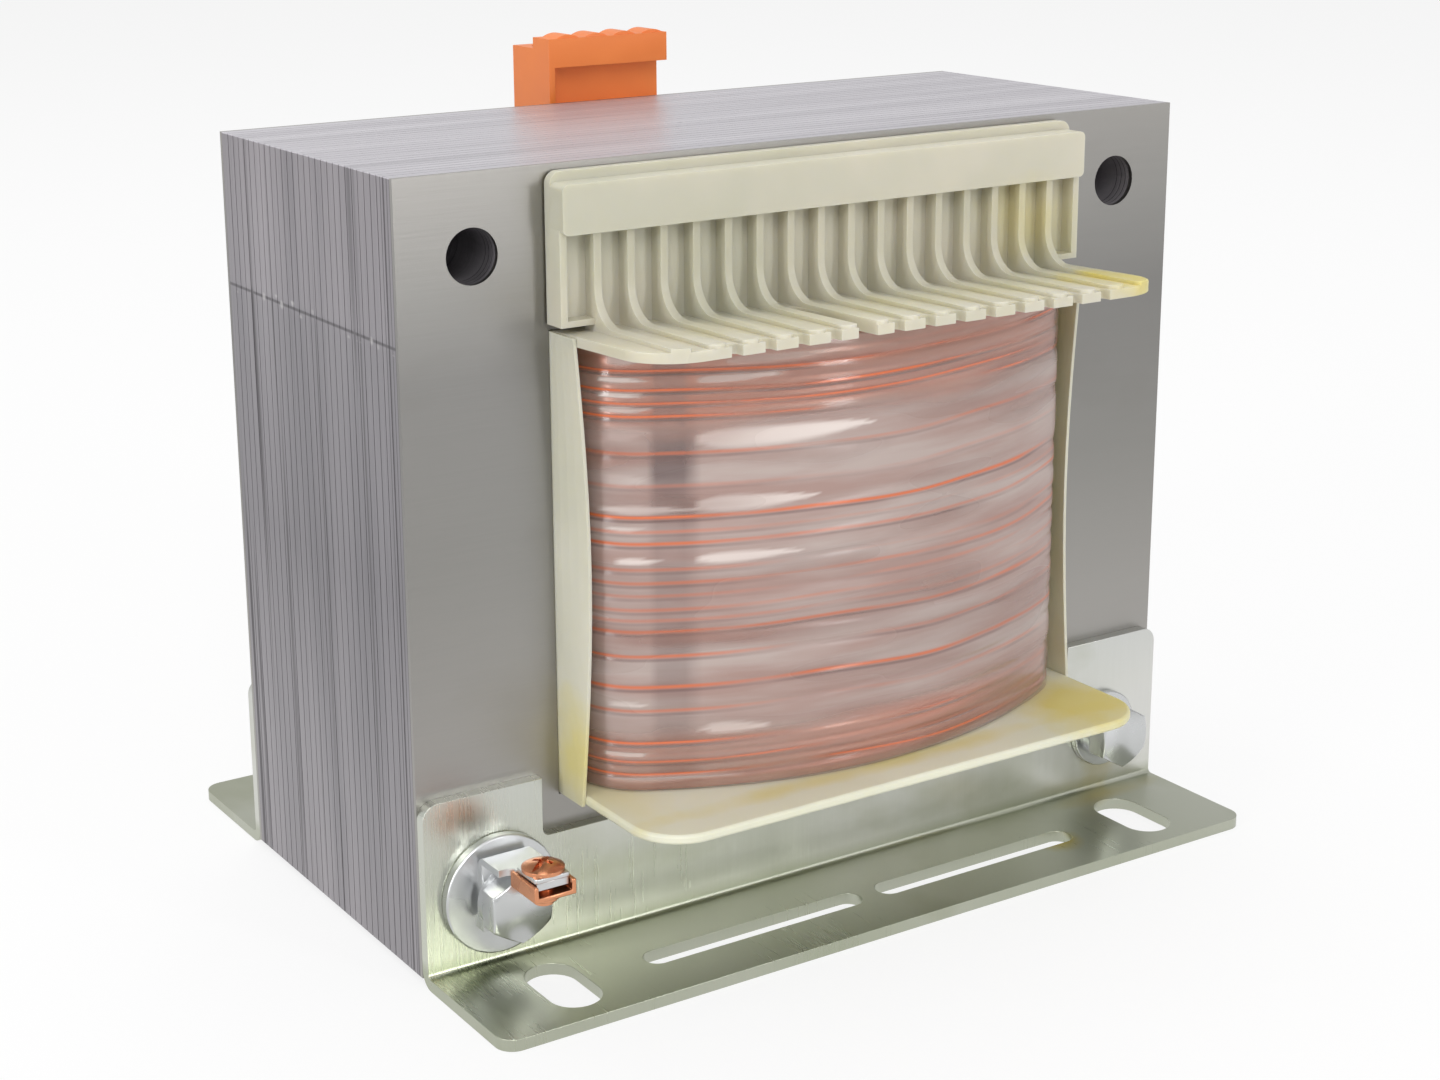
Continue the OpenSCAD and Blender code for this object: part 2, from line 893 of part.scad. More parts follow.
module washer(x, d, y0, y1) {
    difference() {
        rod_y(x, bolt_z, d, y0, y1);
        rod_y(x, bolt_z, bore_d, y0 - 1, y1 + 1);
    }
}

module large_washer() {
    color("silver")
        washer(-bolt_x, large_washer_d, -strap_y, -bracket_y);
}

module plain_washers() {
    color("silver") {
        washer(bolt_x, washer_d, -bracket_y - washer_t, -bracket_y);
        both_sides()
            washer(bolt_x, washer_d, bracket_y, bracket_y + washer_t);
    }
}

// A split ring, cut through at a slant
module spring_washer(x, y0, y1) {
    difference() {
        washer(x, spring_washer_d, y0, y1);
        translate([x + spring_washer_d / 2, (y0 + y1) / 2, bolt_z])
            rotate([0, 0, 60])
                cube([0.8, 3 * spring_washer_t, spring_washer_d / 3], center = true);
    }
}

module spring_washers() {
    color("silver") {
        spring_washer(-bolt_x, -left_head_y, -left_spring_y);
        spring_washer(bolt_x, -right_head_y, -bracket_y - washer_t);
        both_sides()
            spring_washer(bolt_x, bracket_y + washer_t, nut_y);
    }
}

module hex_nuts() {
    color("silver")
        both_sides()
            difference() {
                translate([0, nut_y + nut_h, 0])
                    mirror([0, 1, 0])
                        hex_block(bolt_x, bolt_z, 0, nut_h);
                rod_y(bolt_x, bolt_z, bolt_d + 0.1, nut_y - 1, nut_y + nut_h + 1);
            }
}

// Earth clamp --------------------------------------------------------------------------------

// Strap behind the bolt head whose top turns forward as a tab over the head
module earth_strap() {
    strap_low = bolt_z - bore_d / 2 - 2;
    tip_y = clamp_y + saddle_l / 2 - saddle_tip;
    bend = strap_t + 0.8;
    color("silver")
        difference() {
            union() {
                side_view(-bolt_x - strap_w / 2, -bolt_x + strap_w / 2)
                    translate([-strap_y, 0])
                        mirror([1, 0])
                            difference() {
                                union() {
                                    translate([0, strap_low])
                                        square([strap_t, tab_top_z - strap_low]);
                                    translate([0, tab_z])
                                        square([left_head_y + head_h - strap_y, strap_t]);
                                }
                                difference() {
                                    translate([-1, tab_top_z - bend])
                                        square([bend + 1, bend + 1]);
                                    translate([bend, tab_top_z - bend])
                                        circle(bend);
                                    translate([bend, -big])
                                        square(2 * big);
                                }
                            }
                translate([0, 0, tab_z])
                    linear_extrude(strap_t)
                        polygon([
                            [-bolt_x - strap_w / 2, -left_head_y - head_h + 1],
                            [-bolt_x + strap_w / 2, -left_head_y - head_h + 1],
                            [clamp_x + tab_tip_w / 2, -clamp_y + saddle_l / 2 + 0.2],
                            [clamp_x + tab_tip_w / 2, -tip_y],
                            [clamp_x - tab_tip_w / 2, -tip_y],
                            [clamp_x - tab_tip_w / 2, -clamp_y + saddle_l / 2 + 0.2]
                        ]);
            }
            rod_y(-bolt_x, bolt_z, bore_d, -strap_y - strap_t - 1, -strap_y + 1);
            translate([clamp_x, -clamp_y, tab_z - 1])
                cylinder(d = clamp_screw_d + 0.4, h = strap_t + 2);
        }
}

// Channel under the tab, with a threaded collar for the screw
module clamp_saddle() {
    color("darksalmon")
        difference() {
            union() {
                translate([clamp_x - saddle_w / 2, -clamp_y - saddle_l / 2, saddle_z])
                    cube([saddle_w, saddle_l, tab_top_z - 0.2 - saddle_z]);
                translate([clamp_x, -clamp_y, saddle_z - collar_h])
                    cylinder(d = clamp_screw_d + 2, h = collar_h + eps);
            }
            translate([clamp_x - saddle_in_w / 2, -clamp_y - saddle_l / 2 - 1, saddle_z + saddle_t])
                cube([saddle_in_w, saddle_l + 2, tab_top_z]);
            translate([clamp_x, -clamp_y, saddle_z - collar_h - 1])
                cylinder(d = clamp_screw_d + 0.1, h = collar_h + saddle_t + 2);
        }
}

module pressure_plate() {
    color("silver")
        translate([clamp_x, -clamp_y, tab_top_z])
            difference() {
                linear_extrude(plate_t)
                    rounded_rect(plate_w / 2, plate_w / 2, 0.6);
                translate([0, 0, -1])
                    cylinder(d = clamp_screw_d + 0.4, h = plate_t + 2);
            }
}

// Round-topped screw with a slot and a cross
module clamp_screw() {
    low_z = saddle_z - collar_h - 0.9;
    dome_r = clamp_head_d;
    color("darksalmon")
        difference() {
            union() {
                translate([clamp_x, -clamp_y, low_z])
                    cylinder(d = clamp_screw_d, h = plate_top_z - low_z + 0.1);
                translate([clamp_x, -clamp_y, plate_top_z])
                    intersection() {
                        cylinder(d = clamp_head_d, h = clamp_head_h);
                        translate([0, 0, clamp_head_h - dome_r])
                            sphere(dome_r);
                    }
            }
            for (turn = [35, 125])
                translate([clamp_x, -clamp_y, plate_top_z + clamp_head_h])
                    rotate([0, 0, turn])
                        cube([turn < 90 ? clamp_head_d + 1 : clamp_head_d * 0.5, 1.1, 2], center = true);
        }
}

// Terminal block -----------------------------------------------------------------------------

// Side view of the housing: y outwards behind the core, z up. The clip holds the rail.
module block_side() {
    hook = 3.7;
    lip = 1.8;
    polygon([
        [block_back_y, block_z],
        [block_back_y, block_top_z],
        [block_y + ledge_back, block_top_z],
        [block_y + ledge_back, ledge_top_z],
        [block_y - ledge_reach, ledge_top_z],
        [block_y - ledge_reach, ledge_top_z - ledge_h],
        [block_y, ledge_top_z - ledge_h],
        [block_y, rail_top_z + clip_clear + lip],
        [block_y - hook, rail_top_z + clip_clear + lip],
        [block_y - hook, rail_top_z + clip_clear],
        [block_y, rail_top_z + clip_clear],
        [block_y, rail_z - clip_clear],
        [face_y + rib_reach + clip_clear, rail_z - clip_clear],
        [face_y + rib_reach + clip_clear, rail_z - clip_clear - lip],
        [block_y + 0.5, block_z]
    ]);
}

module terminal_housing() {
    color("darkorange")
        difference() {
            union() {
                side_view(block_x, block_x + block_w)
                    block_side();
                // the end plate's front edge stands level with the ledge
                side_view(block_x, block_x + end_plate_t)
                    translate([block_y - ledge_reach, rail_top_z + clip_clear])
                        square([ledge_reach + 1, ledge_top_z - rail_top_z - clip_clear - 1]);
                // low round rims along the ledge
                for (i = [0 : pole_n - 1])
                    intersection() {
                        rod_y(pole_x(i), ledge_top_z + 0.8 - 5.7, 11.4, block_y - ledge_reach + 0.4,
                              block_y + ledge_back - 0.4);
                        translate([pole_x(i), block_y, ledge_top_z])
                            cube([pole_w, big, 2], center = true);
                    }
            }
            for (i = [0 : pole_n - 1]) {
                // chamber for the cage, open at the back through the wire entry
                translate([pole_x(i) - cage_w / 2 - cage_gap, cage_y - cage_d / 2 - cage_gap, cage_z - cage_gap])
                    cube([cage_w + 2 * cage_gap, cage_d + 2 * cage_gap, cage_h + 2 * cage_gap]);
                translate([pole_x(i) - entry_w / 2, cage_y, entry_z])
                    cube([entry_w, block_d, entry_h]);
                // funnel over the screw
                translate([pole_x(i), cage_y, cage_z])
                    cylinder(d = funnel_d, h = block_top_z - cage_z + 1);
                // opening for the lead from below
                lead_run(i, lead_d + 1);
            }
        }
}

module terminal_screws() {
    color("silver")
        for (i = [0 : pole_n - 1])
            translate([pole_x(i), cage_y, cage_z + cage_h]) {
                difference() {
                    translate([0, 0, cage_gap])
                        cylinder(d = screw_head_d, h = 2.2);
                    translate([0, 0, cage_gap + 2.2])
                        cube([screw_head_d + 1, 0.9, 1.8], center = true);
                }
                translate([0, 0, -1.8])
                    cylinder(d = screw_d, h = 1.8 + cage_gap + eps);
            }
}

// Clamping cages with a window for the conductor
module terminal_cages() {
    color("lightgray")
        for (i = [0 : pole_n - 1])
            difference() {
                translate([pole_x(i) - cage_w / 2, cage_y - cage_d / 2, cage_z])
                    cube([cage_w, cage_d, cage_h]);
                translate([pole_x(i) - entry_w / 2 + 0.1, cage_y - cage_d, entry_z - 0.2])
                    cube([entry_w - 0.2, 2 * cage_d, entry_h + 0.4]);
                translate([pole_x(i), cage_y, cage_z + cage_h - 2.6])
                    cylinder(d = screw_d + 0.1, h = 4);
            }
}

e_stack();
i_stack();
front_outer_e();
front_outer_i();
rear_outer_e();
rear_outer_i();
bobbin_tube();
top_flange();
bottom_flange();
left_liner();
right_liner();
inner_winding();
interlayer_insulation();
outer_winding();
film_wrap();
lead_wires();
front_bracket();
rear_bracket();
through_bolts();
bolt_sleeves();
large_washer();
plain_washers();
spring_washers();
hex_nuts();
earth_strap();
clamp_saddle();
pressure_plate();
clamp_screw();
terminal_housing();
terminal_screws();
terminal_cages();
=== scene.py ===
import math

import bmesh
import bpy
import numpy as np
from mathutils import Matrix, Vector


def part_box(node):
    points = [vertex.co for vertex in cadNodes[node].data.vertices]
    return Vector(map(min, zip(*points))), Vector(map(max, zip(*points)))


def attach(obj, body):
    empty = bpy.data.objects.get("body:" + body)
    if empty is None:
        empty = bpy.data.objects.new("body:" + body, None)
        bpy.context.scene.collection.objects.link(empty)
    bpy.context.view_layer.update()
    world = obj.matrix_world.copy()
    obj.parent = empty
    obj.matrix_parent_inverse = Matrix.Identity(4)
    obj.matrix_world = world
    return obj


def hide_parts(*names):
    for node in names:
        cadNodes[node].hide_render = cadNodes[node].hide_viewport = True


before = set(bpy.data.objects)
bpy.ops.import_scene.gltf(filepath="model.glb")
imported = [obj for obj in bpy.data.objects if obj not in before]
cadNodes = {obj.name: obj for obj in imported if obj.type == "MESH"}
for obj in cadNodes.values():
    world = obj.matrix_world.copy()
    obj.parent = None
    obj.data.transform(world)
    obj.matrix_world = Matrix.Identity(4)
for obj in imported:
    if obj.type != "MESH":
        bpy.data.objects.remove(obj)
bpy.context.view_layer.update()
scene = bpy.context.scene
print("frame loaded:", len(cadNodes), "nodes")

mm = 0.001


# Camera

cameraSetup = {
    "position": (-0.28982, -0.44160, 0.22842),
    "azimuth": -32.422,   # degrees, negative stands to the left of the front
    "elevation": 15.164,
    "roll": -0.516,
    "lens": 61.066,
    "shift": (0.0302, -0.0572),
}


def placeCamera(setup):
    az, el, roll = (math.radians(setup[key]) for key in ("azimuth", "elevation", "roll"))
    back = Vector((math.sin(az) * math.cos(el), -math.cos(az) * math.cos(el), math.sin(el)))
    side = (-back).cross(Vector((0, 0, 1))).normalized()
    rise = side.cross(-back)
    right = math.cos(roll) * side + math.sin(roll) * rise
    up = -math.sin(roll) * side + math.cos(roll) * rise
    camera = bpy.data.objects.new("camera", bpy.data.cameras.new("camera"))
    camera.data.lens = setup["lens"]
    camera.data.sensor_width = 36
    camera.data.shift_x, camera.data.shift_y = setup["shift"]
    camera.data.clip_start = 0.01
    turn = Matrix((right, up, back)).transposed().to_4x4()
    camera.matrix_world = Matrix.Translation(Vector(setup["position"])) @ turn
    scene.collection.objects.link(camera)
    scene.camera = camera


placeCamera(cameraSetup)
print("camera placed")


# Node helpers

def addNode(tree, kind, inputs=None, **settings):
    node = tree.nodes.new(kind)
    for name, value in settings.items():
        setattr(node, name, value)
    for name, value in (inputs or {}).items():
        plug(tree, value, node.inputs[name])
    return node


# A socket is linked, anything else becomes the socket's own value
def plug(tree, value, target):
    if isinstance(value, bpy.types.NodeSocket):
        tree.links.new(value, target)
    else:
        target.default_value = value


def calc(tree, operation, a, b=0.0, c=0.0, clamp=False):
    inputs = {0: a, 1: b, 2: c}
    return addNode(tree, "ShaderNodeMath", inputs, operation=operation, use_clamp=clamp).outputs[0]


def remap(tree, value, fromMin, fromMax, toMin=0.0, toMax=1.0):
    node = addNode(tree, "ShaderNodeMapRange", {0: value, 1: fromMin, 2: fromMax, 3: toMin, 4: toMax})
    return node.outputs[0]


def blendColour(tree, factor, a, b, mode="MIX"):
    node = tree.nodes.new("ShaderNodeMix")
    node.data_type = "RGBA"
    node.blend_type = mode
    plug(tree, factor, node.inputs[0])
    plug(tree, a, node.inputs[6])
    plug(tree, b, node.inputs[7])
    return node.outputs[2]


def blendValue(tree, factor, a, b):
    return addNode(tree, "ShaderNodeMix", {0: factor, 2: a, 3: b}).outputs[0]


def newGroup(name, inputs, outputs):
    tree = bpy.data.node_groups.new(name, "ShaderNodeTree")
    for title, kind, value in inputs:
        socket = tree.interface.new_socket(title, in_out="INPUT", socket_type=kind)
        socket.default_value = value
    for title, kind in outputs:
        tree.interface.new_socket(title, in_out="OUTPUT", socket_type=kind)
    return tree, tree.nodes.new("NodeGroupInput"), tree.nodes.new("NodeGroupOutput")


def useGroup(tree, group, **values):
    node = tree.nodes.new("ShaderNodeGroup")
    node.node_tree = group
    for name, value in values.items():
        plug(tree, value, node.inputs[name])
    return node.outputs


def rgb(*values):
    return (*values, 1.0)


number = "NodeSocketFloat"
vector = "NodeSocketVector"


# Cloudy variation: smooth noise stretched along chosen axes, spread to 0..1
def makeMottle():
    tree, given, out = newGroup("mottle", [("Stretch", vector, (1, 1, 1)), ("Scale", number, 40.0),
                                           ("Detail", number, 3.0), ("Low", number, 0.35), ("High", number, 0.65)],
                                [("Value", number)])
    place = addNode(tree, "ShaderNodeTexCoord").outputs["Object"]
    stretched = addNode(tree, "ShaderNodeVectorMath", {0: place, 1: given.outputs["Stretch"]},
                        operation="MULTIPLY")
    noise = addNode(tree, "ShaderNodeTexNoise", {"Vector": stretched.outputs[0], "Scale": given.outputs["Scale"],
                                                 "Detail": given.outputs["Detail"]})
    value = remap(tree, noise.outputs[0], given.outputs["Low"], given.outputs["High"])
    tree.links.new(value, out.inputs["Value"])
    return tree


# Small marks: cells of a Voronoi pattern, of which few are kept
def makeSpecks():
    tree, given, out = newGroup("specks", [("Scale", number, 90.0), ("Size", number, 0.12), ("Share", number, 0.2)],
                                [("Mask", number)])
    place = addNode(tree, "ShaderNodeTexCoord").outputs["Object"]
    cells = addNode(tree, "ShaderNodeTexVoronoi", {"Vector": place, "Scale": given.outputs["Scale"]})
    chance = addNode(tree, "ShaderNodeSeparateColor", {0: cells.outputs["Color"]}).outputs[0]
    kept = calc(tree, "LESS_THAN", chance, given.outputs["Share"])
    edge = calc(tree, "MULTIPLY", given.outputs["Size"], 0.5)
    disc = remap(tree, cells.outputs["Distance"], given.outputs["Size"], edge)
    tree.links.new(calc(tree, "MULTIPLY", disc, kept, clamp=True), out.inputs["Mask"])
    return tree


# Colour that changes with height or another axis of the object, through the given stops in metres
def rampAlong(tree, axis, stops):
    place = addNode(tree, "ShaderNodeTexCoord").outputs["Object"]
    value = addNode(tree, "ShaderNodeSeparateXYZ", {0: place}).outputs[axis]
    low, high = stops[0][0], stops[-1][0]
    ramp = addNode(tree, "ShaderNodeValToRGB", {0: remap(tree, value, low, high)})
    elements = ramp.color_ramp.elements
    while len(elements) < len(stops):
        elements.new(0.5)
    for element, (at, colour) in zip(elements, stops):
        element.position = (at - low) / (high - low)
        element.color = rgb(*colour)
    return ramp.outputs[0]


# Edges of stacked sheets: lines of uneven strength across Y that waver slowly along the sheets
def makeSheetLines():
    tree, given, out = newGroup("sheet lines", [("Waver", number, 0.0003), ("Fine", number, 2300.0),
                                                ("Coarse", number, 520.0)],
                                [("Fine", number), ("Dark", number), ("Tone", number)])
    place = addNode(tree, "ShaderNodeTexCoord").outputs["Object"]
    drift = addNode(tree, "ShaderNodeTexNoise", {"Vector": place, "Scale": 18.0, "Detail": 1.0}).outputs[0]
    shift = calc(tree, "MULTIPLY", calc(tree, "SUBTRACT", drift, 0.5), given.outputs["Waver"])
    apart = addNode(tree, "ShaderNodeSeparateXYZ", {0: place}).outputs
    across = calc(tree, "ADD", apart[1], shift)

    def stripes(scale, along, detail):
        joined = addNode(tree, "ShaderNodeCombineXYZ", {0: calc(tree, "MULTIPLY", apart[0], along),
                                                        1: calc(tree, "MULTIPLY", across, scale),
                                                        2: calc(tree, "MULTIPLY", apart[2], along)})
        noise = addNode(tree, "ShaderNodeTexNoise", {"Vector": joined.outputs[0], "Scale": 1.0, "Detail": detail})
        return noise.outputs[0]

    tree.links.new(remap(tree, stripes(given.outputs["Fine"], 30.0, 1.0), 0.3, 0.7), out.inputs["Fine"])
    tree.links.new(remap(tree, stripes(given.outputs["Coarse"], 5.0, 2.0), 0.38, 0.28), out.inputs["Dark"])
    tree.links.new(remap(tree, stripes(90.0, 7.0, 2.0), 0.35, 0.65), out.inputs["Tone"])
    return tree


mottle = makeMottle()
specks = makeSpecks()
sheetLines = makeSheetLines()


def newMaterial(name):
    material = bpy.data.materials.new(name)
    material.use_nodes = True
    return material, material.node_tree, material.node_tree.nodes["Principled BSDF"]


def bump(tree, height, strength, distance):
    inputs = {"Height": height, "Strength": strength, "Distance": distance}
    return addNode(tree, "ShaderNodeBump", inputs).outputs[0]


# Materials

# Cut edges of the laminations: a dull purplish side with painted shade darkening it around mid height, a smoother top
# given brighter colours as painted light, the seam between the E and I sheets with its light dots, and the open gaps
# beside the outermost sheets
def laminationSteel(name, look):
    material, tree, shader = newMaterial(name)
    lines = useGroup(tree, sheetLines)
    place = addNode(tree, "ShaderNodeTexCoord").outputs["Object"]
    apart = addNode(tree, "ShaderNodeSeparateXYZ", {0: place}).outputs
    onTop = calc(tree, "GREATER_THAN", apart[2], look["topHeight"])
    stain = useGroup(tree, mottle, Stretch=(1, 1, 1), Scale=22.0, Detail=4.0, Low=0.3, High=0.75)["Value"]
    streak = useGroup(tree, mottle, Stretch=(0.12, 3, 3), Scale=60.0, Detail=3.0, Low=0.3, High=0.7)["Value"]
    side = blendColour(tree, lines["Tone"], rgb(*look["dull"]), rgb(*look["bright"]))
    side = blendColour(tree, calc(tree, "MULTIPLY", lines["Fine"], 0.3), side, rgb(*look["crest"]))
    # Painted shade: the side darkened by a ramp over height, most around 80 mm up
    side = blendColour(tree, 1.0, side, rampAlong(tree, 2, look["paintedSideShading"]), "MULTIPLY")
    side = blendColour(tree, calc(tree, "MULTIPLY", stain, 0.2), side, rgb(*look["dull"]))
    # Painted light: the top is given lighter colours than the side of the same steel
    top = blendColour(tree, streak, rgb(*look["topShade"]), rgb(*look["topLight"]))
    top = blendColour(tree, calc(tree, "MULTIPLY", lines["Fine"], 0.12), top, rgb(*look["bright"]))
    body = blendColour(tree, onTop, side, top)
    lower = remap(tree, apart[2], look["seam"], look["seam"] + mm, 0.75, 0.4)
    darkness = calc(tree, "MULTIPLY", lines["Dark"], blendValue(tree, onTop, lower, 0.22))
    for at in look["gaps"]:
        away = calc(tree, "ABSOLUTE", calc(tree, "SUBTRACT", apart[1], at))
        line = calc(tree, "MULTIPLY", remap(tree, away, 0.16 * mm, 0.08 * mm),
                    blendValue(tree, onTop, 0.75, 0.3))
        darkness = calc(tree, "MAXIMUM", darkness, line)
    seamAway = calc(tree, "ABSOLUTE", calc(tree, "SUBTRACT", apart[2], look["seam"]))
    darkness = calc(tree, "MAXIMUM", darkness, remap(tree, seamAway, 0.45 * mm, 0.15 * mm, 0.0, 0.6))
    body = blendColour(tree, darkness, body, rgb(*look["dark"]))
    dots = useGroup(tree, specks, Scale=330.0, Size=0.35, Share=0.3)["Mask"]
    dots = calc(tree, "MULTIPLY", dots, remap(tree, seamAway, 1.6 * mm, 1.2 * mm))
    body = blendColour(tree, calc(tree, "MULTIPLY", dots, 0.55), body, rgb(*look["dots"]))
    marks = calc(tree, "MULTIPLY", useGroup(tree, specks, Scale=85.0, Size=0.07, Share=0.16)["Mask"], 0.5)
    body = blendColour(tree, marks, body, rgb(*look["dark"]))
    plug(tree, body, shader.inputs["Base Color"])
    shader.inputs["Metallic"].default_value = 0.75
    rough = blendValue(tree, onTop, remap(tree, lines["Tone"], 0, 1, 0.46, 0.58), 0.34)
    plug(tree, rough, shader.inputs["Roughness"])
    height = calc(tree, "SUBTRACT", calc(tree, "MULTIPLY", lines["Fine"], 0.3), darkness)
    plug(tree, bump(tree, height, 0.35, 0.00015), shader.inputs["Normal"])
    return material


# Varnish that has run: ragged ellipsoids of colour, each with its middle, reach and strength
def stainedAt(tree, colour, spots, varnish):
    if not spots:
        return colour
    place = addNode(tree, "ShaderNodeTexCoord").outputs["Object"]
    ragged = useGroup(tree, mottle, Stretch=(1, 1, 1), Scale=95.0, Detail=4.0, Low=0.25, High=0.75)["Value"]
    for spot, reach, amount in spots:
        away = addNode(tree, "ShaderNodeVectorMath", {0: place, 1: spot}, operation="SUBTRACT").outputs[0]
        span = addNode(tree, "ShaderNodeVectorMath", {0: away, 1: tuple(1 / v for v in reach)},
                       operation="MULTIPLY").outputs[0]
        far = addNode(tree, "ShaderNodeVectorMath", {0: span}, operation="LENGTH").outputs["Value"]
        near = remap(tree, calc(tree, "ADD", far, calc(tree, "MULTIPLY", ragged, 0.6)), 1.35, 0.55)
        colour = blendColour(tree, calc(tree, "MULTIPLY", near, amount), colour, rgb(*varnish))
    return colour


varnishOnMetal = (0.45, 0.36, 0.07)


# Satin sheet with slow cloudiness, faint grain, stains and specks; where given, painted light and shade by height, and
# on the zinc the olive stains are painted reflection
def sheetMetal(name, light, shade, roughness, stainAndReflectionColour, grain=(1, 1, 30), speckShare=0.10, speckSize=0.05,
               stainAndReflectionAmount=0.35, cloudScale=9.0, bumpStrength=0.08, paintedShadingByHeight=None, drops=()):
    material, tree, shader = newMaterial(name)
    cloud = useGroup(tree, mottle, Stretch=(1, 1, 1), Scale=cloudScale, Detail=2.0, Low=0.32, High=0.68)["Value"]
    fine = useGroup(tree, mottle, Stretch=grain, Scale=60.0, Detail=3.0, Low=0.3, High=0.7)["Value"]
    stain = useGroup(tree, mottle, Stretch=(1, 1, 1.7), Scale=26.0, Detail=4.0, Low=0.56, High=0.78)["Value"]
    spots = useGroup(tree, specks, Scale=70.0, Size=speckSize, Share=speckShare)["Mask"]
    body = blendColour(tree, cloud, rgb(*shade), rgb(*light))
    paler = (min(1.0, 1.12 * v) for v in light)
    body = blendColour(tree, calc(tree, "MULTIPLY", fine, 0.12), body, rgb(*paler))
    # Stains; on the zinc their olive colour is a painted reflection
    body = blendColour(tree, calc(tree, "MULTIPLY", stain, stainAndReflectionAmount), body, rgb(*stainAndReflectionColour))
    body = blendColour(tree, calc(tree, "MULTIPLY", spots, 0.7), body, rgb(0.16, 0.15, 0.12))
    # Painted light and shade: the colour multiplied by a ramp over height
    if paintedShadingByHeight:
        body = blendColour(tree, 1.0, body, rampAlong(tree, 2, paintedShadingByHeight), "MULTIPLY")
    body = stainedAt(tree, body, drops, varnishOnMetal)
    plug(tree, body, shader.inputs["Base Color"])
    shader.inputs["Metallic"].default_value = 1.0
    rough = calc(tree, "ADD", remap(tree, cloud, 0, 1, roughness - 0.03, roughness + 0.04),
                 calc(tree, "MULTIPLY", fine, 0.05))
    plug(tree, rough, shader.inputs["Roughness"])
    plug(tree, bump(tree, fine, bumpStrength, 0.00008), shader.inputs["Normal"])
    return material


# Translucent nylon with yellow varnish where it has run
def nylonMaterial(name, body, deep, varnish, varnishSpots=()):
    material, tree, shader = newMaterial(name)
    cloud = useGroup(tree, mottle, Stretch=(1, 1, 1), Scale=30.0, Detail=3.0, Low=0.3, High=0.7)["Value"]
    fine = useGroup(tree, mottle, Stretch=(1, 1, 1), Scale=700.0, Detail=2.0, Low=0.3, High=0.7)["Value"]
    colour = blendColour(tree, cloud, rgb(*deep), rgb(*body))
    colour = stainedAt(tree, colour, varnishSpots, varnish)
    plug(tree, colour, shader.inputs["Base Color"])
    plug(tree, remap(tree, cloud, 0, 1, 0.34, 0.46), shader.inputs["Roughness"])
    shader.inputs["Subsurface Weight"].default_value = 0.35
    shader.inputs["Subsurface Radius"].default_value = (0.9, 0.8, 0.5)
    shader.inputs["Subsurface Scale"].default_value = 0.004
    plug(tree, bump(tree, fine, 0.06, 0.0001), shader.inputs["Normal"])
    return material


def plasticMaterial(name, body, deep, roughness):
    material, tree, shader = newMaterial(name)
    cloud = useGroup(tree, mottle, Stretch=(1, 1, 1), Scale=60.0, Detail=3.0, Low=0.3, High=0.7)["Value"]
    fine = useGroup(tree, mottle, Stretch=(1, 1, 1), Scale=900.0, Detail=2.0, Low=0.3, High=0.7)["Value"]
    plug(tree, blendColour(tree, cloud, rgb(*deep), rgb(*body)), shader.inputs["Base Color"])
    plug(tree, remap(tree, cloud, 0, 1, roughness - 0.04, roughness + 0.06), shader.inputs["Roughness"])
    plug(tree, bump(tree, fine, 0.1, 0.00008), shader.inputs["Normal"])
    return material


# Enamelled wire: bare copper in the grooves, paler on the crests under the film, and painted shade near black in the
# deepest grooves
def windingMaterial(name, crest, haze, groove, dark):
    material, tree, shader = newMaterial(name)
    deep = addNode(tree, "ShaderNodeAttribute", attribute_name="groove").outputs["Fac"]
    tone = addNode(tree, "ShaderNodeAttribute", attribute_name="tone").outputs["Fac"]
    streak = useGroup(tree, mottle, Stretch=(1, 1, 26), Scale=22.0, Detail=4.0, Low=0.3, High=0.7)["Value"]
    body = blendColour(tree, tone, rgb(*haze), rgb(*crest))
    body = blendColour(tree, calc(tree, "MULTIPLY", streak, 0.35), body, rgb(*groove))
    body = blendColour(tree, calc(tree, "MULTIPLY", deep, 0.9, clamp=True), body, rgb(*groove))
    # Painted shade: the deepest part of each groove turned near black
    body = blendColour(tree, remap(tree, deep, 0.8, 1.0), body, rgb(*dark))
    plug(tree, body, shader.inputs["Base Color"])
    shader.inputs["Metallic"].default_value = 0.7
    plug(tree, remap(tree, streak, 0, 1, 0.3, 0.42), shader.inputs["Roughness"])
    shader.inputs["Coat Roughness"].default_value = 0.05
    plug(tree, remap(tree, tone, 0, 1, 1.0, 0.8), shader.inputs["Coat Weight"])
    return material
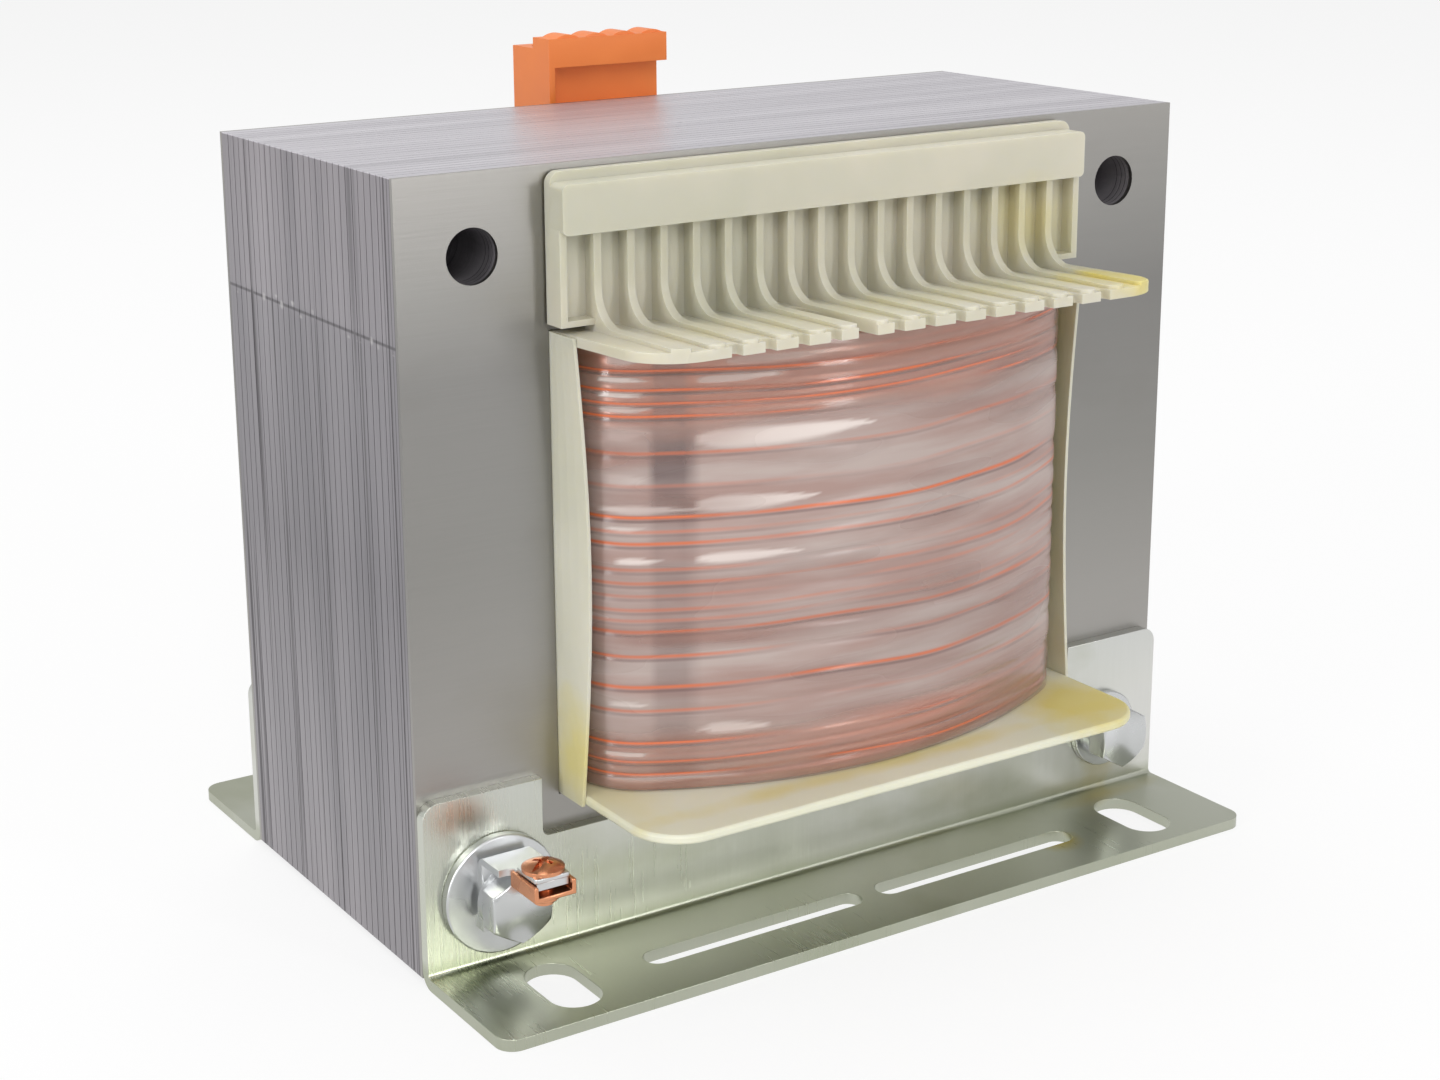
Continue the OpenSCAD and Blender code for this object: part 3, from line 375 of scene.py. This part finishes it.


# Hazy film drawn over groups of turns: pinkish haze, orange lines where a group ends, painted white glints,
# and a painted dark reflection down the left corner with painted shadow along the left edge
def filmMaterial(name, look):
    material, tree, shader = newMaterial(name)
    haze = addNode(tree, "ShaderNodeAttribute", attribute_name="haze").outputs["Fac"]
    glint = addNode(tree, "ShaderNodeAttribute", attribute_name="glint").outputs["Fac"]
    shade = addNode(tree, "ShaderNodeAttribute", attribute_name="shade").outputs["Fac"]
    place = addNode(tree, "ShaderNodeTexCoord").outputs["Object"]
    apart = addNode(tree, "ShaderNodeSeparateXYZ", {0: place}).outputs
    drift = addNode(tree, "ShaderNodeTexNoise", {"Vector": place, "Scale": 16.0, "Detail": 1.0}).outputs[0]
    freedom = remap(tree, apart[0], -0.046, 0.01, 0.0004, 0.006)
    level = calc(tree, "ADD", apart[2], calc(tree, "MULTIPLY", calc(tree, "SUBTRACT", drift, 0.5), freedom))
    lines, edges = 0.0, 0.0
    for height, strength in look["lines"]:
        above = calc(tree, "SUBTRACT", level, height * mm)
        away = calc(tree, "ABSOLUTE", above)
        lines = calc(tree, "MAXIMUM", lines, remap(tree, away, look["lineWidth"], 0.1 * mm, 0.0, strength))
        below = calc(tree, "ABSOLUTE", calc(tree, "ADD", above, 0.75 * mm))
        edges = calc(tree, "MAXIMUM", edges, remap(tree, below, 0.5 * mm, 0.1 * mm, 0.0, 0.6 * strength))
    broken = useGroup(tree, mottle, Stretch=(1, 1, 16), Scale=20.0, Detail=3.0, Low=0.40, High=0.60)["Value"]
    kept = calc(tree, "MAXIMUM", broken, remap(tree, apart[0], -0.022, -0.044))
    lines = calc(tree, "MULTIPLY", lines, kept)
    edges = calc(tree, "MULTIPLY", edges, kept)
    streak = useGroup(tree, mottle, Stretch=(1, 1, 9), Scale=24.0, Detail=4.0, Low=0.35, High=0.65)["Value"]
    body = blendColour(tree, streak, rgb(*look["pink"]), rgb(*look["grey"]))
    # Painted reflection and shadow: the dark band down the left corner and the dark left edge
    body = blendColour(tree, calc(tree, "MULTIPLY", shade, 0.75), body, rgb(*look["shade"]))
    body = blendColour(tree, edges, body, rgb(*look["edge"]))
    body = blendColour(tree, lines, body, rgb(*look["line"]))
    # Painted highlight: white glints put into the film's colour
    body = blendColour(tree, glint, body, rgb(*look["glint"]))
    plug(tree, body, shader.inputs["Base Color"])
    plug(tree, remap(tree, haze, 0, 1, 0.08, 0.3), shader.inputs["Roughness"])
    shader.inputs["IOR"].default_value = 1.6
    # The painted glints and the painted reflection and shadow also raise the film's cover
    marks = calc(tree, "MAXIMUM", calc(tree, "MULTIPLY", lines, 0.85), calc(tree, "MAXIMUM", edges, glint))
    cover = calc(tree, "MAXIMUM", remap(tree, haze, 0, 1, 0.14, 0.8), calc(tree, "MULTIPLY", shade, 0.75))
    plug(tree, calc(tree, "MAXIMUM", cover, marks, clamp=True), shader.inputs["Alpha"])
    return material


coreSteel = laminationSteel("coreSteel", {
    "topHeight": 161.3 * mm,
    "seam": 129.5 * mm,
    "gaps": [y * mm for y in (-39.5, -38.3, -37.0, -35.6, 39.5)],
    "bright": (0.36, 0.345, 0.36), "dull": (0.25, 0.24, 0.255), "crest": (0.46, 0.44, 0.46),
    "topLight": (0.66, 0.64, 0.68), "topShade": (0.54, 0.52, 0.56),
    "dark": (0.05, 0.045, 0.05), "dots": (0.62, 0.6, 0.6),
    "paintedSideShading": [(0.0, (1.05, 1.04, 1.04)), (0.03, (1.0, 1.0, 1.0)), (0.08, (0.76, 0.76, 0.77)),
                 (0.128, (0.9, 0.9, 0.91)), (0.131, (1.0, 0.99, 1.0)), (0.162, (1.0, 0.98, 0.99))],
})
# The front faces get painted light and shade by height: darkest about 122 mm up, paler towards the foot and the top
faceSteel = sheetMetal("faceSteel", (0.46, 0.45, 0.43), (0.42, 0.41, 0.395), 0.36, (0.30, 0.28, 0.24),
                       speckShare=0.05, speckSize=0.035, stainAndReflectionAmount=0.2, cloudScale=6.0,
                       paintedShadingByHeight=[(0.0, (0.85, 0.84, 0.83)), (0.05, (0.76, 0.75, 0.74)),
                                   (0.085, (0.60, 0.60, 0.59)), (0.122, (0.53, 0.53, 0.53)),
                                   (0.14, (0.66, 0.66, 0.655)), (0.162, (0.80, 0.79, 0.78))])
# Painted reflection: the olive stains, the greenish cloud tone and the darker olive band over the foot stand for an
# olive surround seen in the zinc
zincSheet = sheetMetal("zincSheet", (0.66, 0.66, 0.65), (0.55, 0.57, 0.50), 0.27, (0.36, 0.37, 0.24),
                       grain=(30, 1, 1), speckShare=0.14, speckSize=0.045, stainAndReflectionAmount=0.5, cloudScale=14.0,
                       paintedShadingByHeight=[(0.0, (0.70, 0.72, 0.62)), (0.0035, (0.72, 0.74, 0.64)),
                                   (0.006, (1.0, 1.0, 0.97)), (0.027, (0.98, 0.98, 0.95)), (0.045, (0.92, 0.93, 0.94))],
                       drops=[((0.052, -0.062, 0.0025), (0.006, 0.005, 0.003), 1.0),
                              ((0.078, -0.047, 0.004), (0.018, 0.004, 0.004), 0.45),
                              ((0.080, -0.044, 0.012), (0.007, 0.003, 0.009), 0.5)])
zincFastener = sheetMetal("zincFastener", (0.64, 0.65, 0.66), (0.5, 0.51, 0.5), 0.24, (0.3, 0.3, 0.26),
                          grain=(1, 1, 1), cloudScale=60.0)
copperPlate = sheetMetal("copperPlate", (0.72, 0.33, 0.18), (0.6, 0.25, 0.13), 0.24, (0.3, 0.12, 0.06),
                         grain=(1, 1, 1), cloudScale=90.0)
varnishYellow = (0.66, 0.55, 0.11)
nylon = nylonMaterial("nylon", (0.60, 0.565, 0.47), (0.50, 0.49, 0.39), varnishYellow,
                      [((0.060, -0.072, 0.131), (0.017, 0.02, 0.008), 0.75),
                       ((0.0, -0.064, 0.129), (0.09, 0.014, 0.0045), 0.16),
                       ((0.052, -0.044, 0.140), (0.016, 0.006, 0.012), 0.3)])
lowNylon = nylonMaterial("lowNylon", (0.74, 0.735, 0.60), (0.66, 0.66, 0.52), varnishYellow,
                         [((0.056, -0.066, 0.036), (0.024, 0.02, 0.004), 0.8),
                          ((-0.058, -0.05, 0.036), (0.010, 0.02, 0.004), 0.3),
                          ((0.0, -0.0685, 0.036), (0.065, 0.004, 0.003), 0.55)])
linerSheet = nylonMaterial("linerSheet", (0.62, 0.60, 0.49), (0.54, 0.53, 0.42), varnishYellow,
                           [((-0.064, -0.047, 0.044), (0.01, 0.012, 0.014), 0.6)])
paperWrap = plasticMaterial("paperWrap", (0.5, 0.4, 0.22), (0.42, 0.33, 0.18), 0.7)
orangePlastic = plasticMaterial("orangePlastic", (0.80, 0.215, 0.042), (0.74, 0.185, 0.034), 0.42)
sleevePlastic = plasticMaterial("sleevePlastic", (0.65, 0.65, 0.6), (0.6, 0.6, 0.55), 0.4)
windingCopper = windingMaterial("windingCopper", (0.64, 0.31, 0.21), (0.44, 0.21, 0.14), (0.68, 0.15, 0.05),
                                (0.12, 0.03, 0.02))
# The film's glint colour is a painted highlight, its shade colour painted reflection and shadow
clearFilm = filmMaterial("clearFilm", {
    "pink": (0.42, 0.28, 0.245), "grey": (0.51, 0.415, 0.38), "shade": (0.10, 0.06, 0.06),
    "line": (0.72, 0.17, 0.06), "edge": (0.15, 0.075, 0.07), "glint": (0.93, 0.84, 0.79),
    "lineWidth": 0.55 * mm,
    "lines": [(122.4, 0.9), (118.6, 1.0), (116.0, 0.9), (113.4, 1.0), (106.0, 0.6), (99.5, 0.3), (93.1, 1.0),
              (90.2, 0.5), (87.7, 0.9), (82.4, 0.5), (79.7, 0.6), (77.0, 0.4), (74.2, 0.5), (72.0, 0.4),
              (69.6, 0.7), (64.5, 0.8), (58.1, 0.9), (53.1, 0.6), (46.3, 1.0), (42.4, 0.8), (39.6, 0.9)],
})
plainCopper = sheetMetal("plainCopper", (0.6, 0.24, 0.12), (0.5, 0.19, 0.09), 0.3, (0.3, 0.1, 0.05),
                         grain=(1, 1, 8))
print("materials made")


# CAD pieces that keep their shape

plainNodes = {
    coreSteel: ["e_stack", "i_stack"],
    faceSteel: ["front_outer_e", "front_outer_i", "rear_outer_e", "rear_outer_i"],
    nylon: ["bobbin_tube"],
    linerSheet: ["left_liner", "right_liner"],
    paperWrap: ["interlayer_insulation"],
    plainCopper: ["inner_winding", "lead_wires"],
    sleevePlastic: ["bolt_sleeves"],
    zincFastener: ["spring_washers", "terminal_cages", "terminal_screws"],
}
for material, names in plainNodes.items():
    for name in names:
        cadNodes[name].data.materials.clear()
        cadNodes[name].data.materials.append(material)


# CAD pieces with softened edges

# A merged copy of the node's faces, its flat regions joined, and its edges broken by a small bevel
def softened(node, material, width, segments=2, angle=32):
    mesh = cadNodes[node].data.copy()
    work = bmesh.new()
    work.from_mesh(mesh)
    bmesh.ops.remove_doubles(work, verts=work.verts, dist=2e-6)
    bmesh.ops.dissolve_limit(work, angle_limit=math.radians(0.6), verts=work.verts, edges=work.edges)
    work.to_mesh(mesh)
    work.free()
    mesh.materials.clear()
    mesh.materials.append(material)
    piece = bpy.data.objects.new(node + "_finished", mesh)
    scene.collection.objects.link(piece)
    bevel = piece.modifiers.new("edges", "BEVEL")
    bevel.width = width
    bevel.segments = segments
    bevel.limit_method = "ANGLE"
    bevel.angle_limit = math.radians(angle)
    mesh.polygons.foreach_set("use_smooth", np.ones(len(mesh.polygons), bool))
    mesh.set_sharp_from_angle(angle=math.radians(40))
    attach(piece, "root")
    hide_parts(node)
    return piece


edgeBreaks = {  # node: material, record slot, bevel in mm
    "front_bracket": (zincSheet, "zinc_sheet", 0.35),
    "rear_bracket": (zincSheet, "zinc_sheet", 0.35),
    "top_flange": (nylon, "nylon", 0.3),
    "bottom_flange": (lowNylon, "nylon", 0.6),
    "through_bolts": (zincFastener, "zinc_fastener", 0.35),
    "hex_nuts": (zincFastener, "zinc_fastener", 0.3),
    "large_washer": (zincFastener, "zinc_fastener", 0.35),
    "plain_washers": (zincFastener, "zinc_fastener", 0.25),
    "earth_strap": (zincFastener, "zinc_fastener", 0.25),
    "pressure_plate": (zincFastener, "zinc_fastener", 0.2),
    "clamp_saddle": (copperPlate, "copper_plate", 0.2),
    "clamp_screw": (copperPlate, "copper_plate", 0.25),
    "terminal_housing": (orangePlastic, "orange_plastic", 0.3),
}
for node, (material, slotName, width) in edgeBreaks.items():
    softened(node, material, width * mm)
print("edges softened")


# Coil

# Closed plan path of a coil layer: straight sides, corner arcs of radius r and crown arcs tangent to
# them, worked out at the given count of even steps; returns points and outward normals.
def ovalPath(halfWidth, reach, corner, faceY, count):
    c, d = halfWidth - corner, reach - corner
    back = (c * c - d * d) / (2 * d)
    crown = back + reach
    turn = math.atan2(back, c)
    angles = np.linspace(0, turn, 24)
    first = np.stack([c + corner * np.cos(angles), faceY + corner * np.sin(angles)], 1)
    angles = np.linspace(turn, math.pi - turn, 120)[1:-1]
    middle = np.stack([crown * np.cos(angles), faceY - back + crown * np.sin(angles)], 1)
    half = np.concatenate([first, middle, (first * [-1, 1])[::-1]])
    loop = np.concatenate([half, -half])
    closed = np.concatenate([loop, loop[:1]])
    length = np.concatenate([[0], np.cumsum(np.linalg.norm(np.diff(closed, axis=0), axis=1))])
    steps = np.linspace(0, length[-1], count, endpoint=False)
    points = np.stack([np.interp(steps, length, closed[:, k]) for k in (0, 1)], 1)
    ahead = np.roll(points, -1, 0) - np.roll(points, 1, 0)
    normals = np.stack([ahead[:, 1], -ahead[:, 0]], 1)
    return points, normals / np.linalg.norm(normals, axis=1)[:, None]


# Smooth random field over the loop and the height, from a coarse grid of random values
def softNoise(rows, columns, rowCells, columnCells, seed):
    grid = np.random.default_rng(seed).uniform(-1, 1, (rowCells + 1, columnCells))
    r = np.linspace(0, rowCells - 1e-6, rows)
    c = np.linspace(0, columnCells, columns, endpoint=False)
    r0, c0 = r.astype(int), c.astype(int)
    fr, fc = r - r0, c - c0
    fr, fc = (fr * fr * (3 - 2 * fr))[:, None], (fc * fc * (3 - 2 * fc))[None, :]
    c1 = (c0 + 1) % columnCells
    low = grid[r0][:, c0] * (1 - fc) + grid[r0][:, c1] * fc
    high = grid[r0 + 1][:, c0] * (1 - fc) + grid[r0 + 1][:, c1] * fc
    return low * (1 - fr) + high * fr


# A closed profile carried round a closed path: point = path + normal * offset, at height z
def carriedShell(name, points, normals, offsets, heights, material, attributes=None):
    rows, columns = offsets.shape
    place = np.empty((rows, columns, 3))
    place[..., :2] = points[None] + normals[None] * offsets[..., None]
    place[..., 2] = heights
    index = np.arange(rows * columns).reshape(rows, columns)
    up, round_ = np.roll(index, -1, 0), np.roll(index, -1, 1)
    both = np.roll(up, -1, 1)
    faces = np.stack([index, round_, both, up], -1).reshape(-1, 4)
    mesh = bpy.data.meshes.new(name)
    mesh.from_pydata(place.reshape(-1, 3).tolist(), [], faces.tolist())
    mesh.polygons.foreach_set("use_smooth", np.ones(len(mesh.polygons), bool))
    for title, values in (attributes or {}).items():
        layer = mesh.attributes.new(title, "FLOAT", "POINT")
        layer.data.foreach_set("value", np.ascontiguousarray(values, np.float32).ravel())
    mesh.materials.append(material)
    piece = bpy.data.objects.new(name, mesh)
    scene.collection.objects.link(piece)
    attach(piece, "root")
    return piece


coil = {
    "turns": 36,
    "pathSteps": 300,
    "stepsPerTurn": 7,
    "grooveDepth": 0.55 * mm,
    "innerWall": 12.0 * mm,
}


def buildWinding(setup):
    low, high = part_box("outer_winding")
    faceY = -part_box("front_outer_e")[0].y
    halfWidth, reach = high.x, high.y - faceY
    points, normals = ovalPath(halfWidth, reach, 15.6 * mm, faceY, setup["pathSteps"])
    perTurn, turns = setup["stepsPerTurn"], setup["turns"]
    phase = np.tile(np.linspace(-1, 1, perTurn, endpoint=False) + 1 / perTurn, turns)
    pitch = (high.z - low.z) / turns
    level = low.z + (np.arange(turns).repeat(perTurn) + (phase + 1) / 2) * pitch
    hollow = 1 - (1 - np.abs(phase) ** 3.0) ** (1 / 3.0)      # 0 on the crest, 1 in the groove
    rows = len(phase) + 4
    offsets = np.zeros((rows, setup["pathSteps"]))
    body = slice(1, rows - 3)
    bands = softNoise(len(phase), setup["pathSteps"], 11, 6, 4)
    loose = softNoise(turns, setup["pathSteps"], turns - 1, 9, 7).repeat(perTurn, 0)
    offsets[body] = -setup["grooveDepth"] * hollow[:, None] - 0.10 * mm * (1 + bands) - 0.06 * mm * (1 + loose)
    offsets[0] = -0.6 * mm
    offsets[-3] = -0.6 * mm
    offsets[-2] = offsets[-1] = -setup["innerWall"]
    heights = np.zeros_like(offsets)
    heights[body] = level[:, None]
    heights[0], heights[-3], heights[-2], heights[-1] = low.z, high.z, high.z, low.z
    groove, tone = np.ones_like(offsets), np.zeros_like(offsets)
    width = 0.5 + 0.5 * softNoise(turns, setup["pathSteps"], turns - 1, 7, 11).repeat(perTurn, 0)
    groove[body] = np.clip((hollow[:, None] - 0.12) * (0.5 + 2.2 * width), 0, 1)
    tone[body] = np.clip(0.5 + 0.6 * bands + 0.35 * loose, 0, 1)
    piece = carriedShell("outerWinding", points, normals, offsets, heights, windingCopper,
                         {"groove": groove, "tone": tone})
    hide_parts("outer_winding")
    return piece


film = {
    "pathSteps": 250,
    "rows": 180,
    "thickness": 0.05 * mm,
    "hollow": 0.34 * mm,    # depth of the film's hollows between groups of turns
    "groupEnds": [36, 39.6, 46.3, 53, 58.1, 64.5, 69.6, 77, 82.4, 87.7, 93.1, 106,
                  113.4, 118.6, 122.4, 127.5],   # heights in mm
    "hazyFrom": (44, 52),   # heights in mm between which the haze comes in, and goes out again
    "hazyTo": (108, 115),
    # The glints below are painted highlights
    "glints": [  # height, half height, from x, to x, strength, all but the last in mm
        (120.4, 0.8, -58.0, -50.5, 0.85), (120.6, 1.2, -42.5, -24.0, 0.7), (117.2, 0.7, -58.0, -50.0, 0.85),
        (114.7, 0.6, -58.0, -50.0, 0.75), (124.6, 2.2, -57.5, -50.0, 0.7), (108.6, 2.4, -42.0, -6.0, 0.75),
        (110.5, 2.4, -57.5, -51.0, 0.3), (95.3, 1.9, -42.5, -18.0, 0.75), (94.4, 0.8, -58.0, -42.0, 0.7),
        (90.9, 0.5, -57.5, -50.0, 0.6), (84.3, 1.3, -42.0, -22.0, 0.7), (84.0, 0.9, -56.0, -49.0, 0.75),
        (54.6, 0.6, -57.5, -50.5, 0.6), (48.6, 1.3, -41.5, -27.0, 0.7), (44.2, 0.8, -58.0, -50.0, 0.65),
        (38.6, 0.8, -58.0, -30.0, 0.45), (124.0, 1.4, -38.0, -12.0, 0.45), (101.0, 1.6, -57.5, -51.0, 0.25),
    ],
}


def rampUp(value, low, high):
    t = np.clip((value - low) / (high - low), 0, 1)
    return t * t * (3 - 2 * t)


# The film follows the groups of turns: offset = -hollow * |t|^4, with t from -1 to 1 across each group,
# loosened by smooth noise that grows away from the left corner
def buildFilm(setup):
    low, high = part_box("film_wrap")
    faceY = -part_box("front_outer_e")[0].y
    points, normals = ovalPath(high.x, high.y - faceY, 16 * mm, faceY, setup["pathSteps"])
    rows, columns = setup["rows"], setup["pathSteps"]
    x, front = points[:, 0] / mm, points[:, 1] < 0
    level = np.linspace(low.z, high.z, rows)[:, None] * np.ones((1, columns))
    loose = rampUp(x, -46, 20)[None] * softNoise(rows, columns, 8, 14, 21)
    z = level / mm + 2.5 * loose
    ends = np.array(setup["groupEnds"])
    group = np.clip(np.searchsorted(ends, z) - 1, 0, len(ends) - 2)
    t = 2 * (z - ends[group]) / (ends[group + 1] - ends[group]) - 1
    crumple = softNoise(rows, columns, 60, 70, 23) * rampUp(level / mm, 119, 125)
    waves = softNoise(rows, columns, 26, 30, 22)
    outward = -setup["hollow"] * np.clip(np.abs(t), 0, 1) ** 4
    outward = outward + 0.05 * mm * waves + 0.12 * mm * crumple - 0.06 * mm
    outward = np.clip(outward, -0.42 * mm, 0)
    hazy = rampUp(z, *setup["hazyFrom"]) * (1 - rampUp(z, *setup["hazyTo"]))
    patches = softNoise(rows, columns, 20, 16, 31)
    haze = hazy * (0.82 + 0.3 * patches) * (0.72 + 0.28 * rampUp(x, -50, -20))[None]
    haze = np.clip(haze + 0.18 + 0.2 * patches, 0, 1)
    # Painted white glints: strips of highlight in the film's colour, tapered along x and soft across their height
    glint = np.zeros_like(z)
    for height, half, start, end, strength in setup["glints"]:
        along = np.clip((x - start) / (end - start), 0, 1)
        taper = np.where((x > start) & (x < end) & front, np.sin(math.pi * along ** 0.55), 0) ** 0.75
        across = 1 - ((level / mm - height + 0.5 * waves) / (half * np.maximum(taper, 0.05))[None]) ** 2
        soft = np.clip(1.3 * across, 0, 1) * (taper > 0) * (0.82 + 0.25 * patches)
        glint = np.maximum(glint, strength * soft)
    # Painted dark reflection down the left corner, strongest 84 to 116 mm up, and painted shadow along the left edge,
    # together in shade
    corner = rampUp(x, -51.5, -49.5) * (1 - rampUp(x, -44.5, -41.5)) * front
    ragged = np.clip(0.75 + 0.5 * softNoise(rows, columns, 22, 60, 33), 0, 1)
    depth = 0.5 + 0.5 * rampUp(z, 84, 96) * (1 - rampUp(z, 110, 116))
    side = 0.95 * (1 - rampUp(x, -61.8, -59.8)) * front
    shade = np.maximum(corner[None] * depth * ragged, side[None])
    offsets = np.concatenate([outward, outward[::-1] - setup["thickness"]])
    heights = np.concatenate([level, level[::-1]])
    both = {"haze": haze, "glint": glint, "shade": shade}
    piece = carriedShell("clearFilmWrap", points, normals, offsets, heights, clearFilm,
                         {title: np.concatenate([value, value[::-1]]) for title, value in both.items()})
    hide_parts("film_wrap")
    return piece


buildWinding(coil)
buildFilm(film)
print("coil wound")


# Studio

studio = {
    "worldDiffuse": 0.55,
    "worldGlossy": 0.9,
    "floorWhiteness": 0.8,
    "lights": [  # name, place, target, width, height, watts
        ("key", (-0.9, -1.5, 1.4), (0, 0, 0.08), 0.7, 0.9, 14.0),
        ("leftStrip", (-1.5, -0.35, 0.5), (0, -0.05, 0.08), 0.25, 1.0, 6.0),
        ("rightStrip", (0.55, -1.6, 0.5), (0, -0.05, 0.08), 0.25, 1.0, 6.0),
        ("top", (0.1, 0.5, 1.7), (0, 0, 0.1), 1.2, 1.2, 12.0),
    ],
}


def buildStudio(setup):
    world = bpy.data.worlds.new("studio")
    scene.world = world
    world.use_nodes = True
    tree = world.node_tree
    tree.nodes.clear()
    path = addNode(tree, "ShaderNodeLightPath").outputs
    shiny = calc(tree, "MAXIMUM", path["Is Glossy Ray"], path["Is Transmission Ray"])
    direction = addNode(tree, "ShaderNodeTexCoord").outputs["Generated"]
    parts = addNode(tree, "ShaderNodeSeparateXYZ", {0: direction}).outputs
    frontLeft = calc(tree, "ADD", calc(tree, "MULTIPLY", parts[0], -0.35),
                     calc(tree, "MULTIPLY", parts[2], 0.45))
    glossLevel = remap(tree, frontLeft, -0.6, 0.7, setup["worldGlossy"] * 0.55, setup["worldGlossy"] * 1.1)
    level = addNode(tree, "ShaderNodeMix", {0: shiny, 2: setup["worldDiffuse"], 3: glossLevel}).outputs[0]
    level = addNode(tree, "ShaderNodeMix", {0: path["Is Camera Ray"], 2: level, 3: 1.0}).outputs[0]
    background = addNode(tree, "ShaderNodeBackground", {"Color": rgb(1, 1, 1), "Strength": level})
    out = addNode(tree, "ShaderNodeOutputWorld")
    tree.links.new(background.outputs[0], out.inputs[0])

    mesh = bpy.data.meshes.new("floor")
    mesh.from_pydata([(-6, -6, 0), (6, -6, 0), (6, 6, 0), (-6, 6, 0)], [], [(0, 1, 2, 3)])
    floor = bpy.data.objects.new("floor", mesh)
    scene.collection.objects.link(floor)
    material = bpy.data.materials.new("paleFloor")
    material.use_nodes = True
    tree = material.node_tree
    shader = tree.nodes["Principled BSDF"]
    shader.inputs["Base Color"].default_value = rgb(0.85, 0.85, 0.85)
    shader.inputs["Roughness"].default_value = 0.9
    glow = addNode(tree, "ShaderNodeEmission", {"Color": rgb(1, 1, 1), "Strength": 1.0})
    path = addNode(tree, "ShaderNodeLightPath").outputs
    shiny = calc(tree, "MAXIMUM", path["Is Glossy Ray"], path["Is Transmission Ray"])
    seen = calc(tree, "MAXIMUM", path["Is Camera Ray"], shiny)
    factor = calc(tree, "MULTIPLY", seen, setup["floorWhiteness"])
    mix = addNode(tree, "ShaderNodeMixShader", {0: factor, 1: shader.outputs[0], 2: glow.outputs[0]})
    tree.links.new(mix.outputs[0], tree.nodes["Material Output"].inputs["Surface"])
    mesh.materials.append(material)

    for name, place, target, width, height, watts in setup["lights"]:
        lamp = bpy.data.lights.new(name, "AREA")
        lamp.shape = "RECTANGLE"
        lamp.size, lamp.size_y, lamp.energy = width, height, watts
        holder = bpy.data.objects.new(name, lamp)
        scene.collection.objects.link(holder)
        aim = (Vector(place) - Vector(target)).to_track_quat("Z", "Y")
        holder.matrix_world = Matrix.Translation(place) @ aim.to_matrix().to_4x4()


buildStudio(studio)
scene.view_settings.view_transform = "Standard"
print("studio lit")
